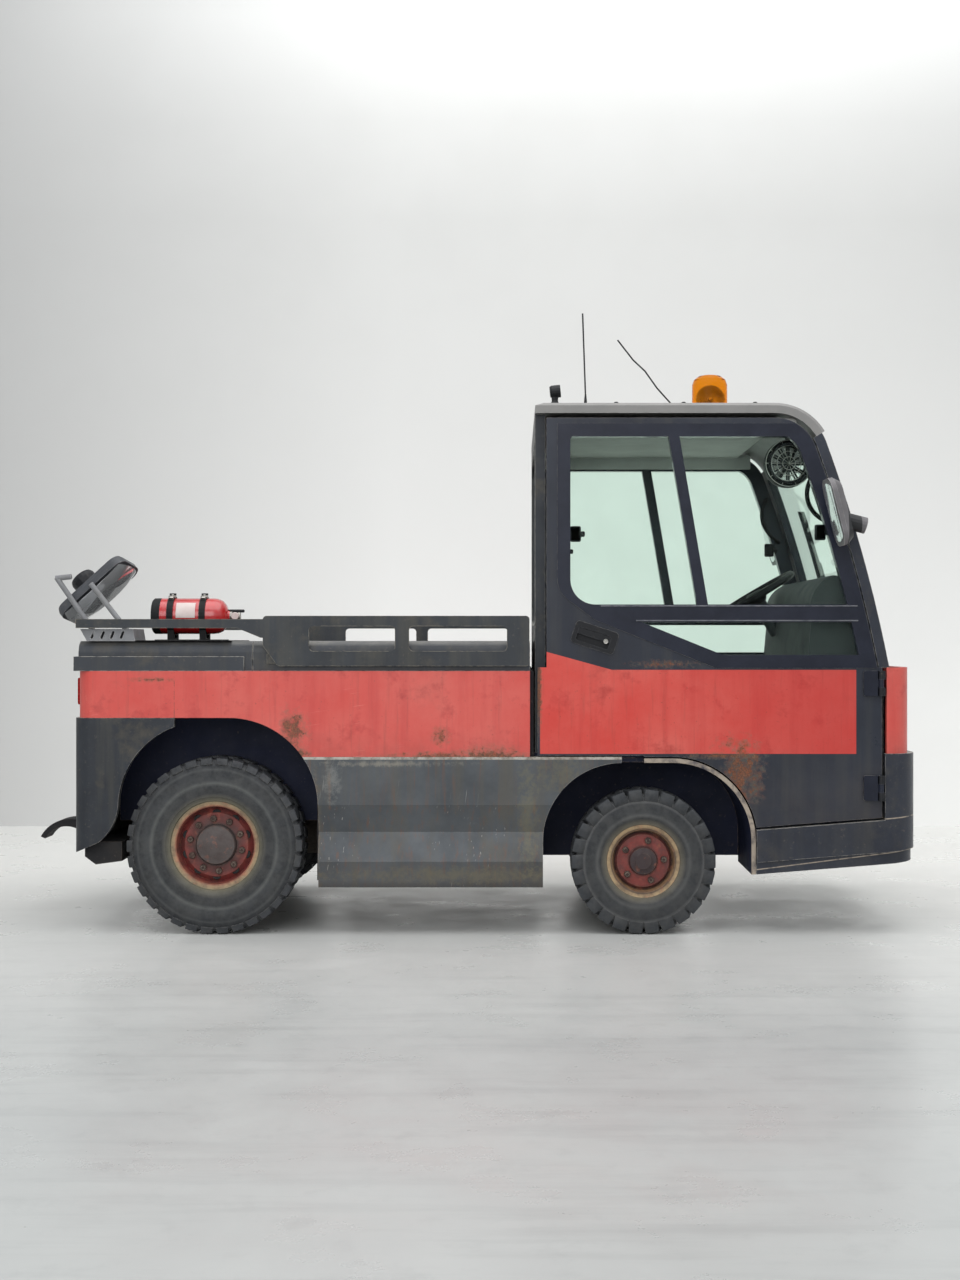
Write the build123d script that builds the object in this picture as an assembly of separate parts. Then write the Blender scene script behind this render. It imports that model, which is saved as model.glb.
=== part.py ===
from build123d import *

import os
from math import asin, atan2, cos, degrees, pi, radians, sin

# Electric airport baggage tug with a closed cab, full size, in millimetres.
# +X is forward, +Y the driver's left, +Z up; the origin is on the ground, in the middle of the length.

# Lengths, from the tail to the nose
coupling_reach = 289.0  # tip of the tow coupling behind the rear bumper
tail_overhang = 516.0  # rear bumper behind the rear axle
wheelbase = 1590.0
nose_overhang = 1015.0  # front bumper ahead of the front axle
cab_setback = 402.0  # back of the cab behind the front axle
cab_gap = 19.0  # between the rear body and the cab

# Widths
body_width = 1300.0
cab_inset = 10.0  # cab side inside the body side

# Heights above the ground, and the steps between them
skirt_clearance = 178.0
panel_bottom = 660.0
panel_height = 317.0
deck_rise = 110.0
belt_height = 990.0
cowl_height = 318.0
roof_height = 1967.0

# Sheets and clearances
panel_thickness = 25.0
shell = 38.0
sheet = 20.0
panel_gap = 4.0
seat_gap = 0.3
running_clearance = 0.05

# Wheels
front_tyre_diameter = 540.0
front_tyre_width = 160.0
front_rim_diameter = 276.0
front_lugs = 26
rear_tyre_diameter = 656.0
rear_tyre_width = 188.0
rear_rim_diameter = 350.0
rear_lugs = 30
tyre_inset = 30.0
flange_height = 16.0
flange_width = 12.0
bead_share = 0.72

# Wheel arches
front_arch_room = 98.0  # above the tyre
front_arch_behind = 373.0
front_arch_ahead = 396.0
front_arch_radius = 290.0
arch_lip = 16.0
rear_arch_room = 148.0
rear_arch_ahead = 388.0
rear_arch_radius = 330.0

# Places that follow from these
nose_x = (coupling_reach + tail_overhang + wheelbase + nose_overhang) / 2
tip_x = -nose_x
bumper_tail_x = tip_x + coupling_reach
rear_axle_x = bumper_tail_x + tail_overhang
front_axle_x = rear_axle_x + wheelbase
cab_rear_x = front_axle_x - cab_setback
body_front_x = cab_rear_x - cab_gap
body_half = body_width / 2
cab_half = body_half - cab_inset
inner_half = body_half - panel_thickness
panel_top = panel_bottom + panel_height
deck_top = panel_top + deck_rise
cowl_bottom = belt_height - cowl_height
front_wheel_z = front_tyre_diameter / 2
rear_wheel_z = rear_tyre_diameter / 2
front_wheel_y = body_half - tyre_inset - front_tyre_width / 2
rear_wheel_y = body_half - tyre_inset - rear_tyre_width / 2
front_arch_rear = front_axle_x - front_arch_behind
front_arch_front = front_axle_x + front_arch_ahead
front_arch_top = front_tyre_diameter + front_arch_room
rear_arch_front = rear_axle_x + rear_arch_ahead
rear_arch_top = rear_tyre_diameter + rear_arch_room
sky = 2 * roof_height  # well above everything, for cutters


# Small helpers
def block(x0, x1, y0, y1, z0, z1):
    return Pos((x0 + x1) / 2, (y0 + y1) / 2, (z0 + z1) / 2) * Box(x1 - x0, y1 - y0, z1 - z0)


def both_sides(solid):
    return solid + mirror(solid, about=Plane.XZ)


def outline(*points):
    return Polygon(*points, align=None)


def area(x0, x1, z0, z1):
    return outline((x0, z0), (x1, z0), (x1, z1), (x0, z1))


def rounded_area(x0, x1, z0, z1, radius):
    return Pos((x0 + x1) / 2, (z0 + z1) / 2) * RectangleRounded(x1 - x0, z1 - z0, radius)


def round_corner(face, place, radius):
    return fillet(face.vertices().sort_by_distance(Vector(*place))[0], radius)


def across(face, y0, y1):
    """Extrudes an XZ outline along Y."""
    return extrude(Plane.XZ.offset(-y0) * face, amount=y1 - y0, dir=(0, 1, 0))


def along(face, x0, x1):
    """Extrudes a YZ outline along X."""
    return extrude(Plane.YZ.offset(x0) * face, amount=x1 - x0, dir=(1, 0, 0))


def upright(face, z0, z1):
    """Extrudes an XY outline along Z."""
    return extrude(Plane.XY.offset(z0) * face, amount=z1 - z0, dir=(0, 0, 1))


def rod(start, end, radius, sides=12):
    """A round bar in flats, from start to end."""
    line = Vector(*end) - Vector(*start)
    return extrude(Plane(start, z_dir=line) * RegularPolygon(radius, sides), amount=line.length)


def pin(start, end, radius):
    line = Vector(*end) - Vector(*start)
    return extrude(Plane(start, z_dir=line) * Circle(radius), amount=line.length)


def drum(sides, *sections):
    """A turned piece about Z in flats, from its (radius, height) sections, lowest first."""
    bands = []
    for (r0, z0), (r1, z1) in zip(sections, sections[1:]):
        lean = degrees(atan2(abs(r0 - r1) * cos(pi / sides), z1 - z0))
        band = extrude(RegularPolygon(max(r0, r1), sides), amount=z1 - z0, taper=lean)
        bands.append(Pos(0, 0, z0) * band if r0 >= r1 else Pos(0, 0, z1) * Rot(180, 0, 0) * band)
    return bands[0] + bands[1:] if bands[1:] else bands[0]


def over_flats(radius, sides):
    """The corner radius of a polygon that a round of this radius turns in."""
    return (radius + running_clearance) / cos(pi / sides)


upright_to_y = Rot(-90, 0, 0)
wheel_turn = upright_to_y * Rot(0, 0, 90)  # a corner of the flats on the ground


# Wheel arches, as outlines that the panels around them are cut by
def arch(x_rear, x_front, z_top, rear_radius, front_radius):
    face = area(x_rear, x_front, 0, z_top)
    if rear_radius:
        face = round_corner(face, (x_rear, z_top), rear_radius)
    return round_corner(face, (x_front, z_top), front_radius)


rear_arch = arch(tip_x, rear_arch_front, rear_arch_top, 0, rear_arch_radius)
front_arch = arch(front_arch_rear, front_arch_front, front_arch_top, front_arch_radius, front_arch_radius)

# Wheels: both tyres are block-lugged, the rear ones worn down
front_lug_depth = 24.0
front_groove = 12.0
rear_lug_depth = 11.0
rear_groove = 15.0
groove_start = 14.0  # from the middle of the tread
bead_room = 2.0
shoulder_share = 0.86
sidewall_share = 0.80
spindle_sides = 16
spindle_radius = 28.0
rear_spindle_radius = 40.0
disc_thickness = 16.0
hub_back = 34.0
rim_wall = 10.0


def tyre(diameter, width, rim_diameter, lugs, lug_depth, groove):
    """A lugged tyre with one flat to a lug, its grooves staggered from side to side."""
    outer = diameter / 2
    half = width / 2
    wall = sidewall_share * outer
    shoulder = half * shoulder_share
    seat = rim_diameter / 2 - flange_height
    body = drum(lugs, (wall, -half), (outer, -shoulder), (outer, shoulder), (wall, half))
    dish = drum(lugs, (wall, -half), (rim_diameter / 2 + bead_room, -half * bead_share))
    cutters = [drum(lugs, (seat, -width), (seat, width)), dish, mirror(dish, about=Plane.XY)]
    channel = block(outer - lug_depth, 2 * outer, -groove / 2, groove / 2, groove_start, width)
    for n in range(lugs):
        turn = 360 * n / lugs
        cutters.append(Rot(0, 0, turn) * channel)
        cutters.append(Rot(0, 0, turn + 180 / lugs) * mirror(channel, about=Plane.XY))
    return wheel_turn * (body - cutters)


def rim(sides, width, rim_diameter, disc, hub_radius, hub_out, spindle, nuts, nut_circle, holes, hole_circle):
    """A dished disc wheel about Z, outer side up, with its hub, nuts and hand holes."""
    flange = rim_diameter / 2
    seat = flange - flange_height - seat_gap
    half = width / 2 * bead_share + seat_gap
    lip = half + flange_width
    taper = flange_width / 3
    barrel = drum(sides, (flange, -lip), (flange, -half - taper), (seat, -half), (seat, half),
                  (flange, half + taper), (flange, lip))
    well = seat - rim_wall
    face_z = disc + disc_thickness / 2
    back_z = disc - disc_thickness / 2
    shape = barrel - drum(sides, (well - rim_wall, face_z), (well, lip + 1))
    shape -= drum(sides, (well, -lip - 1), (well - rim_wall, back_z))
    shape += drum(24, (hub_radius, disc - hub_back), (hub_radius, hub_out - 8), (hub_radius - 10, hub_out))
    bore = over_flats(spindle, spindle_sides)
    shape -= drum(spindle_sides, (bore, -width), (bore, hub_out - 10))
    nut = Pos(nut_circle, 0, face_z + 6) * extrude(RegularPolygon(13, 6), amount=8, both=True)
    hole = Pos(hole_circle, 0, disc) * extrude(RegularPolygon(16, 10), amount=disc_thickness, both=True)
    shape += [Rot(0, 0, 360 * n / nuts) * nut for n in range(nuts)]
    if holes:
        shape -= [Rot(0, 0, 360 * n / holes + 180 / nuts) * hole for n in range(holes)]
    return wheel_turn * shape


def front_wheel():
    return (
        tyre(front_tyre_diameter, front_tyre_width, front_rim_diameter, front_lugs, front_lug_depth,
             front_groove),
        rim(front_lugs, front_tyre_width, front_rim_diameter, 12, 48, 36, spindle_radius, 6, 76, 0, 0),
    )


def rear_wheel():
    return (
        tyre(rear_tyre_diameter, rear_tyre_width, rear_rim_diameter, rear_lugs, rear_lug_depth, rear_groove),
        rim(rear_lugs, rear_tyre_width, rear_rim_diameter, 8, 66, 40, rear_spindle_radius, 10, 98, 5, 127),
    )


# Steering and axles
kingpin_inboard = 120.0
kingpin_radius = 16.0
eye_radius = 40.0
eye_half = 35.0
fork_gap = 3.0
fork_top = 85.0
bridge_inner = 48.0
bridge_outer = 70.0
bridge_half = 28.0
steering_arm_length = 150.0
arm_thickness = 20.0
arm_half = 14.0
ball_radius = 9.0
tie_rod_radius = 14.0
spindle_end_room = 11.0
kingpin_y = front_wheel_y - kingpin_inboard


def knuckle():
    """The left knuckle about its kingpin, with the spindle towards +Y and the steering arm to the rear."""
    cheek = RegularPolygon(eye_radius, 16) + Pos(0, bridge_outer / 2) * Rectangle(2 * bridge_half, bridge_outer)
    shape = upright(cheek, eye_half + fork_gap, fork_top) + upright(cheek, -fork_top, -eye_half - fork_gap)
    shape += block(-bridge_half, bridge_half, bridge_inner, bridge_outer, -fork_top, fork_top)
    shape += pin((0, 0, -fork_top), (0, 0, fork_top), kingpin_radius)
    shape += rod((0, bridge_outer, 0), (0, bridge_outer + 12, 0), spindle_radius + 14, spindle_sides)
    reach = kingpin_inboard + 36 - spindle_end_room
    shape += upright_to_y * drum(spindle_sides, (spindle_radius, bridge_inner), (spindle_radius, reach))
    arm = outline((0, -arm_half - 8), (0, arm_half + 8), (-steering_arm_length, arm_half),
                  (-steering_arm_length, -arm_half))
    arm += Pos(-steering_arm_length, 0) * RegularPolygon(arm_half + 8, 12)
    shape += upright(arm, -fork_top, -fork_top + arm_thickness)
    return shape + pin((-steering_arm_length, 0, -fork_top + arm_thickness),
                       (-steering_arm_length, 0, -fork_top + arm_thickness + 26), ball_radius)


def tie_rod():
    z = front_wheel_z - fork_top + arm_thickness + 14
    x = front_axle_x - steering_arm_length
    bar = rod((x, -kingpin_y + 10, z), (x, kingpin_y - 10, z), tie_rod_radius)
    for side in (1, -1):
        eye = RegularPolygon(ball_radius + 11, 12) - Circle(ball_radius + running_clearance)
        bar -= upright(Pos(x, side * kingpin_y) * Circle(ball_radius + running_clearance), z - 20, z + 20)
        bar += upright(Pos(x, side * kingpin_y) * eye, z - 12, z + 12)
    return bar


rail_width = 60.0
front_rail_room = 165.0  # inside the kingpins
front_rail_outer = kingpin_y - front_rail_room
front_rail_inner = front_rail_outer - rail_width
rail_height = 72.0
axle_pad = 30.0  # axle centre to the rails
rear_rail_room = 72.0  # inside the rear tyres
rear_rail_outer = rear_wheel_y - rear_tyre_width / 2 - rear_rail_room
rear_rail_inner = rear_rail_outer - rail_width
rear_rail_height = 80.0
rear_axle_pad = 92.0
rail_bottom = front_wheel_z + axle_pad
rail_top = rail_bottom + rail_height
rear_rail_bottom = rear_wheel_z + rear_axle_pad
rear_rail_top = rear_rail_bottom + rear_rail_height
beam_half = 38.0
beam_flange = 16.0
beam_web = 12.0


def front_axle():
    low, high = front_wheel_z - eye_half, front_wheel_z + axle_pad - 6
    x = front_axle_x
    section = outline(
        (x - beam_half, low), (x + beam_half, low), (x + beam_half, low + beam_flange),
        (x + beam_web, low + beam_flange),
        (x + beam_web, high - beam_flange), (x + beam_half, high - beam_flange), (x + beam_half, high),
        (x - beam_half, high), (x - beam_half, high - beam_flange), (x - beam_web, high - beam_flange),
        (x - beam_web, low + beam_flange), (x - beam_half, low + beam_flange),
    )
    reach = kingpin_y - eye_radius + 10
    beam = across(section, -reach, reach)
    eye = RegularPolygon(eye_radius, 16) - Circle(kingpin_radius + running_clearance)
    for side in (1, -1):
        beam += upright(Pos(x, side * kingpin_y) * eye, front_wheel_z - eye_half, front_wheel_z + eye_half)
        y0, y1 = sorted((side * front_rail_inner, side * front_rail_outer))
        beam += block(x - 60, x + 60, y0, y1, high - beam_flange, rail_bottom)
    return beam


axle_tube = 62.0
banjo_radius = 145.0
motor_radius = 125.0
motor_length = 340.0
brake_back = 62.0


def drive_axle():
    x, z = rear_axle_x, rear_wheel_z
    end = rear_wheel_y + 40 - spindle_end_room
    tube_end = rear_wheel_y - brake_back
    half = upright_to_y * drum(spindle_sides, (banjo_radius, 0), (banjo_radius, 70), (axle_tube + 8, 130),
                               (axle_tube, 135), (axle_tube, tube_end))
    half += upright_to_y * drum(spindle_sides, (rear_spindle_radius, tube_end - 1), (rear_spindle_radius, end))
    shape = Pos(x, 0, z) * both_sides(half)
    shape += rod((x, 0, z + 20), (x + motor_length, 0, z + 20), motor_radius, 20)
    for side in (1, -1):
        y0, y1 = sorted((side * rear_rail_inner, side * rear_rail_outer))
        shape += block(x - 60, x + 60, y0, y1, z, rear_rail_bottom)
    return shape


# Chassis
tray_ground = 200.0
tray_side_room = 90.0
bumper_thickness = 28.0
plate_thickness = 25.0
skirt_depth = 45.0
rear_beam_reach = 166.0
rear_beam_side_room = 70.0
rear_beam_low = 255.0
rear_beam_high = 340.0
firewall_setback = 65.0
tray_rear_x = rear_arch_front - 8
tray_front_x = body_front_x - 7
bulkhead_front_x = tray_front_x + sheet
rear_plate_x = bumper_tail_x + bumper_thickness
rear_beam_front = bumper_tail_x + rear_beam_reach
firewall_x = nose_x - firewall_setback
rail_web = 12.0


def channel_rail(x0, x1, y_inner, y_outer, z0, z1):
    """A rail of channel section, open towards the middle of the vehicle, on both sides."""
    hollow = block(x0 + rail_web, x1 - rail_web, y_inner - 1, y_outer - rail_web, z0 + rail_web, z1 - rail_web)
    return both_sides(block(x0, x1, y_inner, y_outer, z0, z1) - hollow)


def chassis_frame():
    tray_half = body_half - tray_side_room
    frame = block(tray_rear_x, bulkhead_front_x, -tray_half, tray_half, tray_ground, tray_ground + sheet)
    low_half = body_half - skirt_depth - 1
    bulkhead = Pos(0, (tray_ground + panel_bottom) / 2) * Rectangle(2 * low_half, panel_bottom - tray_ground)
    bulkhead += Pos(0, (panel_bottom + panel_top) / 2) * Rectangle(2 * inner_half, panel_height)
    for x in (tray_rear_x, tray_front_x):
        frame += along(bulkhead, x, x + sheet)
    frame += channel_rail(bulkhead_front_x, firewall_x, front_rail_inner, front_rail_outer, rail_bottom, rail_top)
    frame += channel_rail(rear_plate_x, tray_rear_x, rear_rail_inner, rear_rail_outer, rear_rail_bottom,
                          rear_rail_top)
    frame += block(firewall_x - 60, firewall_x, -front_rail_outer, front_rail_outer, rail_bottom, rail_top)
    frame += block(rear_plate_x, rear_plate_x + plate_thickness, -rear_rail_outer, rear_rail_outer, rear_beam_low + 5,
                   rear_arch_top - 14)
    beam = outline((rear_plate_x, rear_beam_low + 30), (rear_plate_x + 40, rear_beam_low),
                   (rear_beam_front, rear_beam_low + 13), (rear_beam_front, rear_beam_high),
                   (rear_plate_x, rear_beam_high))
    beam_side = body_half - rear_beam_side_room
    return frame + across(beam, -beam_side, beam_side)


battery_end_room = 22.0
battery_side_room = 135.0
battery_height = 790.0


def battery_block():
    z = tray_ground + sheet
    half = body_half - battery_side_room
    return block(tray_rear_x + sheet + battery_end_room, tray_front_x - battery_end_room, -half, half, z,
                 min(z + battery_height, deck_top - deck_wall - battery_end_room))


liner = 12.0
liner_inset = 25.0  # from the rear rails


def rear_liners():
    y = rear_rail_outer + liner_inset
    wall = block(rear_beam_front - 50, tray_rear_x, y, y + liner + 3, rear_rail_bottom - 20, rear_arch_top + liner)
    top = block(rear_beam_front - 50, tray_rear_x, y + liner + 3, inner_half, rear_arch_top, rear_arch_top + liner)
    return both_sides(wall + top)


# Rear body
tail_step = 14.0  # tail panel ahead of the bumper face
tail_corner_radius = 60.0
tail_seam_behind = 141.0
deck_seam_ahead = 145.0
tail_x = bumper_tail_x + tail_step
tail_seam_x = rear_axle_x - tail_seam_behind
deck_seam_x = rear_axle_x + deck_seam_ahead


def side_panels():
    face = area(tail_seam_x, body_front_x, panel_bottom, panel_top)
    return both_sides(across(face - rear_arch, inner_half, body_half))


def wrap(x_end, x_back, half_width, thickness, radius):
    """A U-shaped plan outline round the end of the body at x_end, back to x_back."""
    inside = x_end + (thickness if x_end < x_back else -thickness)

    def filled(end, half, corner):
        face = area(min(end, x_back), max(end, x_back), -half, half)
        for side in (1, -1):
            face = round_corner(face, (end, side * half), corner)
        return face

    return filled(x_end, half_width, radius) - filled(inside, half_width - thickness, radius - thickness)


def tail_panel():
    plan = wrap(tail_x, tail_seam_x, body_half, panel_thickness, tail_corner_radius)
    return upright(plan, rear_arch_top, panel_top)


bumper_low = 303.0
bumper_hook = (96.0, 42.0)  # lower front corner of the bumper's side, ahead of and above its bottom
bumper_side_top = 33.0


def rear_bumper():
    plan = wrap(bumper_tail_x, tail_seam_x, body_half, bumper_thickness, tail_corner_radius)
    hook = (bumper_tail_x + bumper_hook[0], bumper_low + bumper_hook[1])
    waist = (hook[0] + 73, hook[1] + 155)
    top = (tail_seam_x, rear_arch_top - bumper_side_top)
    below = make_face(Curve() + [
        Line((tip_x, bumper_low), (bumper_tail_x, bumper_low)),
        Line((bumper_tail_x, bumper_low), hook),
        ThreePointArc(hook, (hook[0] + 52, hook[1] + 65), waist),
        ThreePointArc(waist, (waist[0] + 0.33 * (top[0] - waist[0]), waist[1] + 0.63 * (top[1] - waist[1])), top),
        Line(top, (front_axle_x, top[1])),
        Line((front_axle_x, top[1]), (front_axle_x, 0)),
        Line((front_axle_x, 0), (tip_x, 0)),
        Line((tip_x, 0), (tip_x, bumper_low)),
    ])
    return upright(plan, 0, rear_arch_top) - across(below, -body_width, body_width)


deck_wall = 14.0
deck_edge_radius = 42.0
band_height = 53.0
band_proud = 10.0


def deck_cover(x0, x1):
    def hood(half, top, radius):
        face = area(-half, half, panel_top, top)
        for side in (1, -1):
            face = round_corner(face, (side * half, top), radius)
        return face

    outside = hood(cab_half, deck_top, deck_edge_radius)
    return along(outside - hood(cab_half - deck_wall, deck_top - deck_wall, deck_edge_radius - deck_wall), x0, x1)


def rear_deck_cover():
    rear = tail_x + 6
    end_half = cab_half - deck_wall - 1
    cover = deck_cover(rear, deck_seam_x)
    end = area(-end_half, end_half, panel_top, deck_top - deck_wall)
    for side in (1, -1):
        end = round_corner(end, (side * end_half, deck_top - deck_wall), deck_edge_radius)
    cover += along(end, rear, rear + deck_wall)
    cover += both_sides(block(tail_x - band_proud, deck_seam_x - 30, cab_half, body_half, panel_top,
                              panel_top + band_height))
    return cover + block(tail_x - band_proud, rear, -body_half, body_half, panel_top, panel_top + band_height)


def front_deck_cover():
    return deck_cover(deck_seam_x + panel_gap / 2, body_front_x)


# Deck rails: a slotted plate on each side, with a bar to the rear
rail_plate = 8.0
rail_plate_up = 93.0  # above the deck
rail_plate_down = 92.0  # below the deck
rail_plate_behind = 41.0  # rear end ahead of the deck seam
rail_corner = 14.0
bar_up = 81.0
bar_under = 48.0
slot_up = 55.0
slot_down = 37.0
slot_radius = 16.0
front_slot_length = 360.0
slot_end_room = 83.0
slot_post = 52.0
slot_rear_room = 170.0
rail_plate_rear = deck_seam_x + rail_plate_behind
rail_plate_front = body_front_x - 2
front_slot = (rail_plate_front - slot_end_room - front_slot_length, rail_plate_front - slot_end_room)
rear_slot = (rail_plate_rear + slot_rear_room, front_slot[0] - slot_post)


def deck_rails():
    rear, front = rail_plate_rear, rail_plate_front
    high, low = deck_top + rail_plate_up, deck_top - rail_plate_down
    face = outline((rear, high), (front, high), (front, low), (rear + 55, low), (rear, low + 75))
    face = fillet(face.vertices(), rail_corner)
    for x0, x1 in (rear_slot, front_slot):
        face -= rounded_area(x0, x1, deck_top - slot_down, deck_top + slot_up, slot_radius)
    face += outline((tail_x, deck_top + bar_up), (rear + 60, deck_top + bar_up), (rear + 60, deck_top + 3),
                    (rear - 10, deck_top + 13), (rear - 95, deck_top + bar_under), (tail_x, deck_top + bar_under))
    plate = across(face, body_half, body_half + rail_plate)
    for x in (rear + 34, (rear_slot[1] + front_slot[0]) / 2, front - 42):
        plate += block(x - 20, x + 20, cab_half, body_half, low + 10, low + 45)
    return both_sides(plate)


# Folded side skirts under the battery
skirt_sheet = 16.0
upper_crease = 176.0  # below the red panel
middle_crease = 203.0  # above the skirt's bottom
lower_crease = 97.0
crease_depth = 26.0


def side_skirts():
    y, top, low = body_half, panel_bottom, skirt_clearance
    profile = outline(
        (y - skirt_depth, top), (y, top), (y, top - upper_crease), (y - crease_depth, low + middle_crease),
        (y, low + lower_crease), (y - 14, low), (y - 14 - skirt_sheet, low), (y - skirt_sheet, low + lower_crease),
        (y - crease_depth - skirt_sheet, low + middle_crease), (y - skirt_sheet, top - upper_crease - 14),
        (y - skirt_sheet, top - skirt_sheet), (y - skirt_depth, top - skirt_sheet),
    )
    plate = along(profile, rear_arch_front - rear_arch_radius, front_arch_rear + front_arch_radius)
    cutter = across(rear_arch, inner_half - panel_thickness, body_width)
    cutter += across(front_arch, inner_half - panel_thickness, body_width)
    return both_sides(plate - cutter)


# Tail fittings
lamp_depth = 18.0
lamp_width = 130.0
lamp_half_height = 50.0
lamp_inset = 90.0


def tail_lamps():
    y = body_half - lamp_inset - lamp_width / 2
    z = (rear_arch_top + panel_top) / 2 + 9
    face = Pos(y, z) * RectangleRounded(lamp_width, 2 * lamp_half_height, 12)
    return both_sides(along(face, tail_x - lamp_depth, tail_x))


coupling_height = 400.0
coupling_plate = 22.0
jaw_length = 144.0
jaw_half = 55.0
jaw_up = 42.0
jaw_down = 36.0
jaw_upper = 50.0
jaw_lower = 36.0
coupling_pin_radius = 16.0
pin_behind = 109.0  # behind the bumper


def tow_coupling():
    z = coupling_height
    front = bumper_tail_x - coupling_plate
    end = bumper_tail_x - jaw_length
    lip = end - tip_x
    flange = Pos(0, z + 10) * RectangleRounded(220, 240, 20)
    shape = along(flange, front, bumper_tail_x)
    cheeks = make_face(Curve() + [
        Line((front, z + jaw_up + jaw_upper), (end, z + jaw_up + jaw_upper - 8)),
        Line((end, z + jaw_up + jaw_upper - 8), (end, z + jaw_up)),
        Line((end, z + jaw_up), (front - 38, z + jaw_up)),
        Line((front - 38, z + jaw_up), (front - 38, z - jaw_down)),
        Line((front - 38, z - jaw_down), (end, z - jaw_down)),
        ThreePointArc((end, z - jaw_down), (end - 0.55 * lip, z - jaw_down - 8), (tip_x, z - jaw_down - 68)),
        Line((tip_x, z - jaw_down - 68), (tip_x + 18, z - jaw_down - 76)),
        ThreePointArc((tip_x + 18, z - jaw_down - 76), (end - 0.5 * lip, z - jaw_down - jaw_lower + 4),
                      (end, z - jaw_down - jaw_lower)),
        Line((end, z - jaw_down - jaw_lower), (front, z - jaw_down - jaw_lower)),
        Line((front, z - jaw_down - jaw_lower), (front, z + jaw_up + jaw_upper)),
    ])
    shape += across(cheeks, -jaw_half, jaw_half)
    x = bumper_tail_x - pin_behind
    shape += rod((x, 0, z - jaw_down - 5), (x, 0, z + jaw_up + jaw_upper + 38), coupling_pin_radius)
    shape += rod((x, 0, z + jaw_up + jaw_upper - 10), (x, 0, z + jaw_up + jaw_upper + 20), 30)
    return shape + block(x - 10, x + 10, -70, 70, z + jaw_up + jaw_upper + 34, z + jaw_up + jaw_upper + 52)


# The coupling mirror's face looks forward and down, so that the driver sees the coupling.
mirror_ahead = 49.0  # of the tail
mirror_side_room = 125.0
mirror_up = 193.0
mirror_tilt = 42.4
mirror_length = 315.0
mirror_width = 190.0
mirror_depth = 34.0
mirror_yaw = 14.0  # its face looks a little to the right
mirror_corner = 45.0
mirror_tube = 10.0
mirror_x = tail_x + mirror_ahead
mirror_y = mirror_side_room - body_half
mirror_z = deck_top + mirror_up


def mirror_plane():
    turn = radians(mirror_tilt)
    level = Plane((mirror_x, mirror_y, mirror_z), x_dir=(cos(turn), 0, sin(turn)),
                  z_dir=(sin(turn), 0, -cos(turn)))
    return Plane(level.location * Rot(-mirror_yaw, 0, 0))


def coupling_mirror():
    plane = mirror_plane()
    face = RectangleRounded(mirror_length, mirror_width, mirror_corner)
    shell_body = extrude(plane.offset(mirror_depth / 2) * face, amount=-mirror_depth * 0.6)
    return shell_body + extrude(plane.offset(-mirror_depth * 0.1) * face, amount=-mirror_depth * 0.4, taper=24)


def coupling_lamp():
    plane = mirror_plane().offset(-mirror_depth / 2) * Pos(-18, 0, 0)
    return plane * drum(20, (44, -64), (48, -54), (48, -44), (36, 0))


foot_length = 178.0
foot_height = 45.0
foot_slots = 4


def coupling_mirror_stand():
    turn = radians(mirror_yaw)
    edge = mirror_plane().location * Pos(0, mirror_width / 2 + seat_gap, 0)
    x, z = edge.position.X, edge.position.Z
    y = edge.position.Y - mirror_depth / 2 * sin(turn) - mirror_tube
    rear = mirror_x - 12
    foot = outline((rear, deck_top), (rear + foot_length, deck_top), (rear + foot_length - 8, deck_top + foot_height),
                   (rear - 25, deck_top + foot_height))
    for n in range(foot_slots):
        foot -= Pos(rear + 22 + 36 * n, deck_top + foot_height / 2) * Rot(0, 0, 68) * SlotOverall(30, 9)
    shape = across(foot, y - mirror_tube, mirror_y + 60)
    shape += rod((mirror_x + 22, y, deck_top + 20), (x - 110, y, z + 24), mirror_tube)
    shape += rod((mirror_x + 149, y, deck_top + 20), (x + 16, y, z + 2), mirror_tube)
    return shape + rod((x - 114, y, z + 22), (x - 56, y, z + 28), mirror_tube)


# Fire extinguisher, lying along the deck in a strapped cradle
extinguisher_ahead = 210.0
extinguisher_side_room = 350.0
extinguisher_radius = 70.0
extinguisher_length = 300.0
extinguisher_up = 97.0
strap_places = (74.0, 198.0)
strap_width = 24.0
extinguisher_x = tail_x + extinguisher_ahead
extinguisher_y = extinguisher_side_room - body_half
extinguisher_z = deck_top + extinguisher_up
bottle_sides = 32


def fire_extinguisher():
    r, length = extinguisher_radius, extinguisher_length
    bottle = drum(bottle_sides, (r - 8, 0), (r, 10), (r, length - 44), (r - 12, length - 20), (r - 34, length - 4),
                  (22, length), (22, length + 16))
    bottle += Pos(0, 0, length + 26) * Box(34, 40, 24)
    bottle += Pos(18, 0, length + 36) * Box(60, 18, 10) + Pos(-14, 0, length + 30) * Box(14, 14, 44)
    return Pos(extinguisher_x, extinguisher_y, extinguisher_z) * (Rot(0, 90, 0) * bottle)


def extinguisher_cradle():
    y, z = extinguisher_y, extinguisher_z
    inner = (extinguisher_radius + seat_gap) / cos(pi / bottle_sides)
    band = RegularPolygon(inner + 4, bottle_sides) - RegularPolygon(inner, bottle_sides)
    shape = block(extinguisher_x + 15, extinguisher_x + extinguisher_length - 20, y - 60, y + 60, deck_top,
                  deck_top + 6)
    foot = Pos(0, -(extinguisher_up - 6) / 2 - 20) * Rectangle(100, extinguisher_up - 46)
    foot -= Pos(0, -72) * Rectangle(56, 24)
    saddle = band + (foot - RegularPolygon(inner + 2, bottle_sides))
    saddle += Pos(0, inner + 10) * Rectangle(12, 16)
    for place in strap_places:
        x = extinguisher_x + place
        shape += along(Pos(y, z) * saddle, x - strap_width / 2, x + strap_width / 2)
    return shape


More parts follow.
